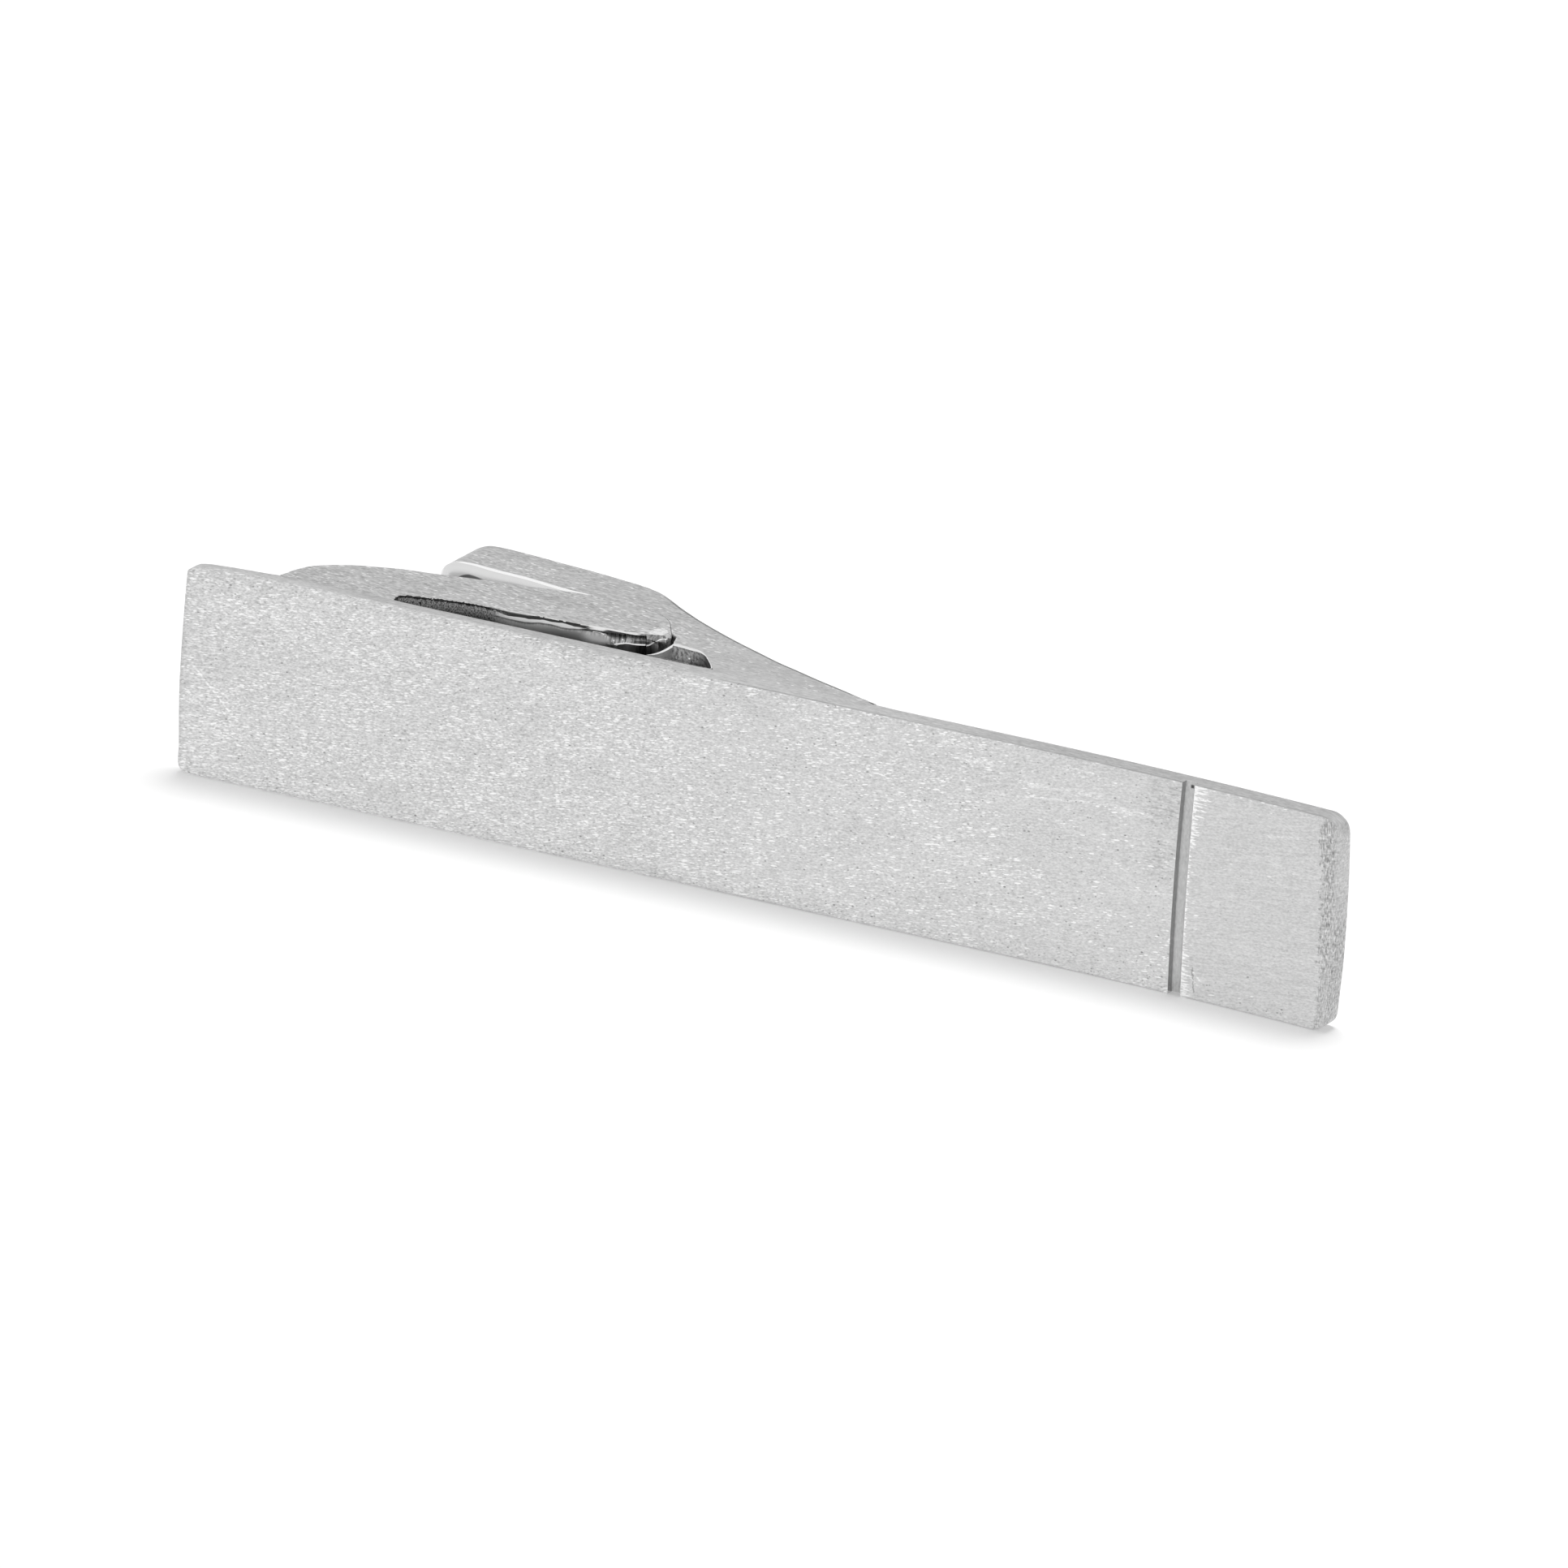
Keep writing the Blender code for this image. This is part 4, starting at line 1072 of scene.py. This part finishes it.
def arm_side(place, inside):
    """Return the arm's section at a corner of its plan. inside is true on the side towards the tongue."""
    if place.y < ON_SEAT:
        return FLAT_SIDE
    if not inside:
        return blend_sides(PLAIN_SIDE, BACK_SIDE, progress(PLAIN_TO_BACK, place.x))
    if place.x >= CONTACT_FROM:
        return CONTACT_SIDE
    if place.y > LIP_BACK and place.x < LIP_TO:
        return blend_sides(PLAIN_SIDE, MOUTH_SIDE, progress(PLAIN_TO_MOUTH, place.x))
    side = blend_sides(MOUTH_SIDE, NARROW_SIDE, progress(MOUTH_TO_NARROW, place.x))
    return blend_sides(side, CONTACT_SIDE, progress(NARROW_TO_CONTACT, place.x))


def make_arm(materials):
    """Make the arm with its foot. Its materials: long edges, mouth, rim of its back, other sides."""
    back = smooth_line(ARM_BACK)
    plan = [Vector(point) for point in ARM_FOOT] + smooth_line(ARM_BACK + ARM_LIP + ARM_MOUTH)
    plan += contact_line() + smooth_line(ARM_THROAT)
    turn = len(ARM_FOOT) + len(back)
    sides = [arm_side(place, number > turn) for number, place in enumerate(plan)]
    rim = denser(back, RIM_WIDTH / 2)

    def shape(place):
        return narrowed(place, rounded(LIP_RADIUS, place.x - LIP_START))

    def paint(centre, normal):
        in_mouth = MOUTH_BACK[0] < centre.y < MOUTH_BACK[1] and centre.x < MOUTH_TO
        if in_mouth and abs(normal.z) < MOUTH_LEVEL and normal.y < MOUTH_TURN:
            return 1
        if abs(normal.z) < LEANING:
            return 3
        on_back = RIM_ALONG[0] < centre.x < RIM_ALONG[1]
        return 2 if on_back and min((centre.xy - place).length for place in rim) < RIM_WIDTH else 0

    body = slab(plan, sides, LIP_CUTS, shape, paint, measured_from(plan, ARM_MEASURE))
    arm = finish_mesh("arm", body, None, materials, ["arm_root", "spring_arm"])
    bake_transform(arm)


def make_solder(materials):
    """Make the solder in the end of the slot, hollow above and below. Its materials: rim, hollow, web."""
    rim = [place for place in smooth_line(ARM_THROAT[2:]) if place.x > WEB_BACK]
    plan = [Vector((WEB_FRONT, SEAT)), Vector((FILL_END, SEAT))]
    plan += [Vector((place.x, max(place.y, SEAT + FILL_EDGE))) for place in reversed(rim)]
    web = [Vector((WEB_BACK, rim[0].y - NEAR)), plan[0]]
    plan += [web[0].lerp(web[1], step / WEB_STEPS) for step in range(WEB_STEPS)]
    ways = inward(plan)
    body = bmesh.new()
    grain = body.loops.layers.uv.new("grain")

    def ring(step, upper):
        share, drop = HOLLOW_LEVELS[step]
        row = []
        for place, way in zip(plan, ways):
            on_web = place.x < WEB_BACK + NEAR
            wall = HOLLOW_WALL if on_web else HOLLOW_RIM
            wall *= 1 - THINNING_SHARE * progress(THINNING, place.x)
            here = place + way * (wall if place.y > ON_SEAT else HOLLOW_SEAT) * share
            back = min(1.0, max(0.0, (here.y - THICKNESS) / WEB_LENGTH))
            dip = WEB_DIP * math.sin(math.pi * back) if on_web else 0.0
            depth = drop * HOLLOW_DEPTH + dip * (1 - drop)
            row.append(body.verts.new((here.x, here.y, HEIGHT - depth if upper else depth)))
        return row

    steps = range(len(HOLLOW_LEVELS))
    close(body, [ring(step, False) for step in reversed(steps)] + [ring(step, True) for step in steps])
    for face in body.faces:
        centre = face.calc_center_median()
        if min(centre.z, HEIGHT - centre.z) < RIM_DEPTH and abs(face.normal.z) > LEANING:
            face.material_index = 0
        else:
            face.material_index = 2 if face.normal.x > SQUARE else 1
        for loop in face.loops:
            place = loop.vert.co
            flat = abs(face.normal.z) > FACING
            loop[grain].uv = (place.x, place.y) if flat else (place.x + place.y * WEB_SLANT, place.z)
    finish_mesh("arm_solder_fill", body, "bar", materials, ["arm_solder"])


# Camera, light and floor


def set_camera():
    """Place the camera where the photograph was taken from."""
    right = Vector((math.cos(CAMERA_AZIMUTH), math.sin(CAMERA_AZIMUTH), 0.0))
    back = Vector((math.sin(CAMERA_AZIMUTH) * math.cos(CAMERA_ELEVATION),
                   -math.cos(CAMERA_AZIMUTH) * math.cos(CAMERA_ELEVATION), math.sin(CAMERA_ELEVATION)))
    up = back.cross(right)
    aside = math.cos(CAMERA_ROLL) * right + math.sin(CAMERA_ROLL) * up
    above = -math.sin(CAMERA_ROLL) * right + math.cos(CAMERA_ROLL) * up
    place = Vector(CAMERA_AIM) - aside * CAMERA_ASIDE[0] - above * CAMERA_ASIDE[1] + back * CAMERA_DISTANCE
    matrix = Matrix((aside, above, back)).transposed().to_4x4()
    matrix.translation = spot(*place)
    camera = bpy.data.cameras.new("camera")
    camera.sensor_width = CAMERA_SENSOR
    camera.lens = CAMERA_LENS
    camera.clip_start = 0.05
    camera.clip_end = 50.0
    holder = bpy.data.objects.new("camera", camera)
    holder.matrix_world = matrix
    bpy.context.scene.collection.objects.link(holder)
    bpy.context.scene.camera = holder


def set_light():
    """Light the scene with a pale tent and one soft lamp overhead, which only the floor shows."""
    world = bpy.data.worlds.new("tent")
    world.use_nodes = True
    tree = world.node_tree
    background = tree.nodes["Background"].inputs
    way = add(tree, "ShaderNodeSeparateXYZ", {0: add(tree, "ShaderNodeTexCoord")["Generated"]})
    low_behind = ramp(way[1], 0, 0.9) * ramp(way[2], 0.85, 0.3)
    path = add(tree, "ShaderNodeLightPath")
    seen = path["Is Camera Ray"] + path["Is Glossy Ray"]
    seen = reckon("ADD", seen, path["Is Transmission Ray"], clamp=True)
    feed(background["Strength"], mix(seen, WORLD_LIGHT, mix(low_behind, TENT_FRONT, TENT_BACK)))
    feed(background["Color"], WHITE)
    bpy.context.scene.world = world
    lamp = bpy.data.lights.new("overhead", "AREA")
    lamp.shape = "DISK"
    lamp.size = LAMP_SIZE
    lamp.energy = LAMP_POWER
    holder = bpy.data.objects.new("overhead", lamp)
    holder.location = LAMP_PLACE
    holder.rotation_euler = (-holder.location).to_track_quat("-Z", "Y").to_euler()
    holder.visible_glossy = False
    bpy.context.scene.collection.objects.link(holder)


def make_floor():
    """Make the pale floor. What the camera and the metal see of it is lifted to white; its shadow stays."""
    mesh = bpy.data.meshes.new("floor")
    half = FLOOR_SIZE / 2
    corners = [(-half, -half, 0), (half, -half, 0), (half, half, 0), (-half, half, 0)]
    mesh.from_pydata(corners, [], [(0, 1, 2, 3)])
    floor = bpy.data.objects.new("floor", mesh)
    bpy.context.scene.collection.objects.link(floor)
    material = bpy.data.materials.new("pale_floor")
    material.use_nodes = True
    shader = material.node_tree.nodes["Principled BSDF"].inputs
    feed(shader["Roughness"], 1)
    feed(shader["Specular IOR Level"], 0)
    path = add(material.node_tree, "ShaderNodeLightPath")
    mirrored = reckon("ADD", path["Is Glossy Ray"], path["Is Transmission Ray"], clamp=True)
    feed(shader["Base Color"], grey(mix(mirrored, FLOOR_COLOUR, MIRRORED_COLOUR)))
    feed(shader["Emission Color"], WHITE)
    feed(shader["Emission Strength"], path["Is Camera Ray"] * FLOOR_GLOW + mirrored * MIRRORED_GLOW)
    mesh.materials.append(material)


bpy.context.scene.view_settings.view_transform = "Standard"
set_camera()
set_light()
make_floor()

strokes_group()
dashes_group()
finish_group()
edge_silver = edge_material()
clip_silver = clip_material()
back_silver = plain_material("back_silver", tone=0.64, tilt=0.05, dashes=0.4, dash_length=0.48,
                             dash_width=0.14, dash_gain=0.9, grain=0.8, grain_size=0.08, lines=0.1,
                             specks=0.2, patches=0.12)
# The solder's rim is painted near white, as a highlight along its edge
solder_rim = plain_material("solder_rim", tone=0.98, dashes=0.3, dash_gain=0.3, grain=0.2, specks=0.3,
                            grain_size=0.08)
solder_web = plain_material("solder_web", tone=0.5, dashes=0.2, grain=0.5, specks=0.3, grain_size=0.08)

make_bar([face_material(), edge_silver, groove_material(), back_silver])
make_tongue([clip_silver, slot_material(), back_silver])
make_arm([clip_silver, mouth_material(), rim_material(), back_silver])
make_solder([solder_rim, hollow_material(), solder_web])
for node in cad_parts.values():
    node.data.materials.clear()
    node.data.materials.append(edge_silver)
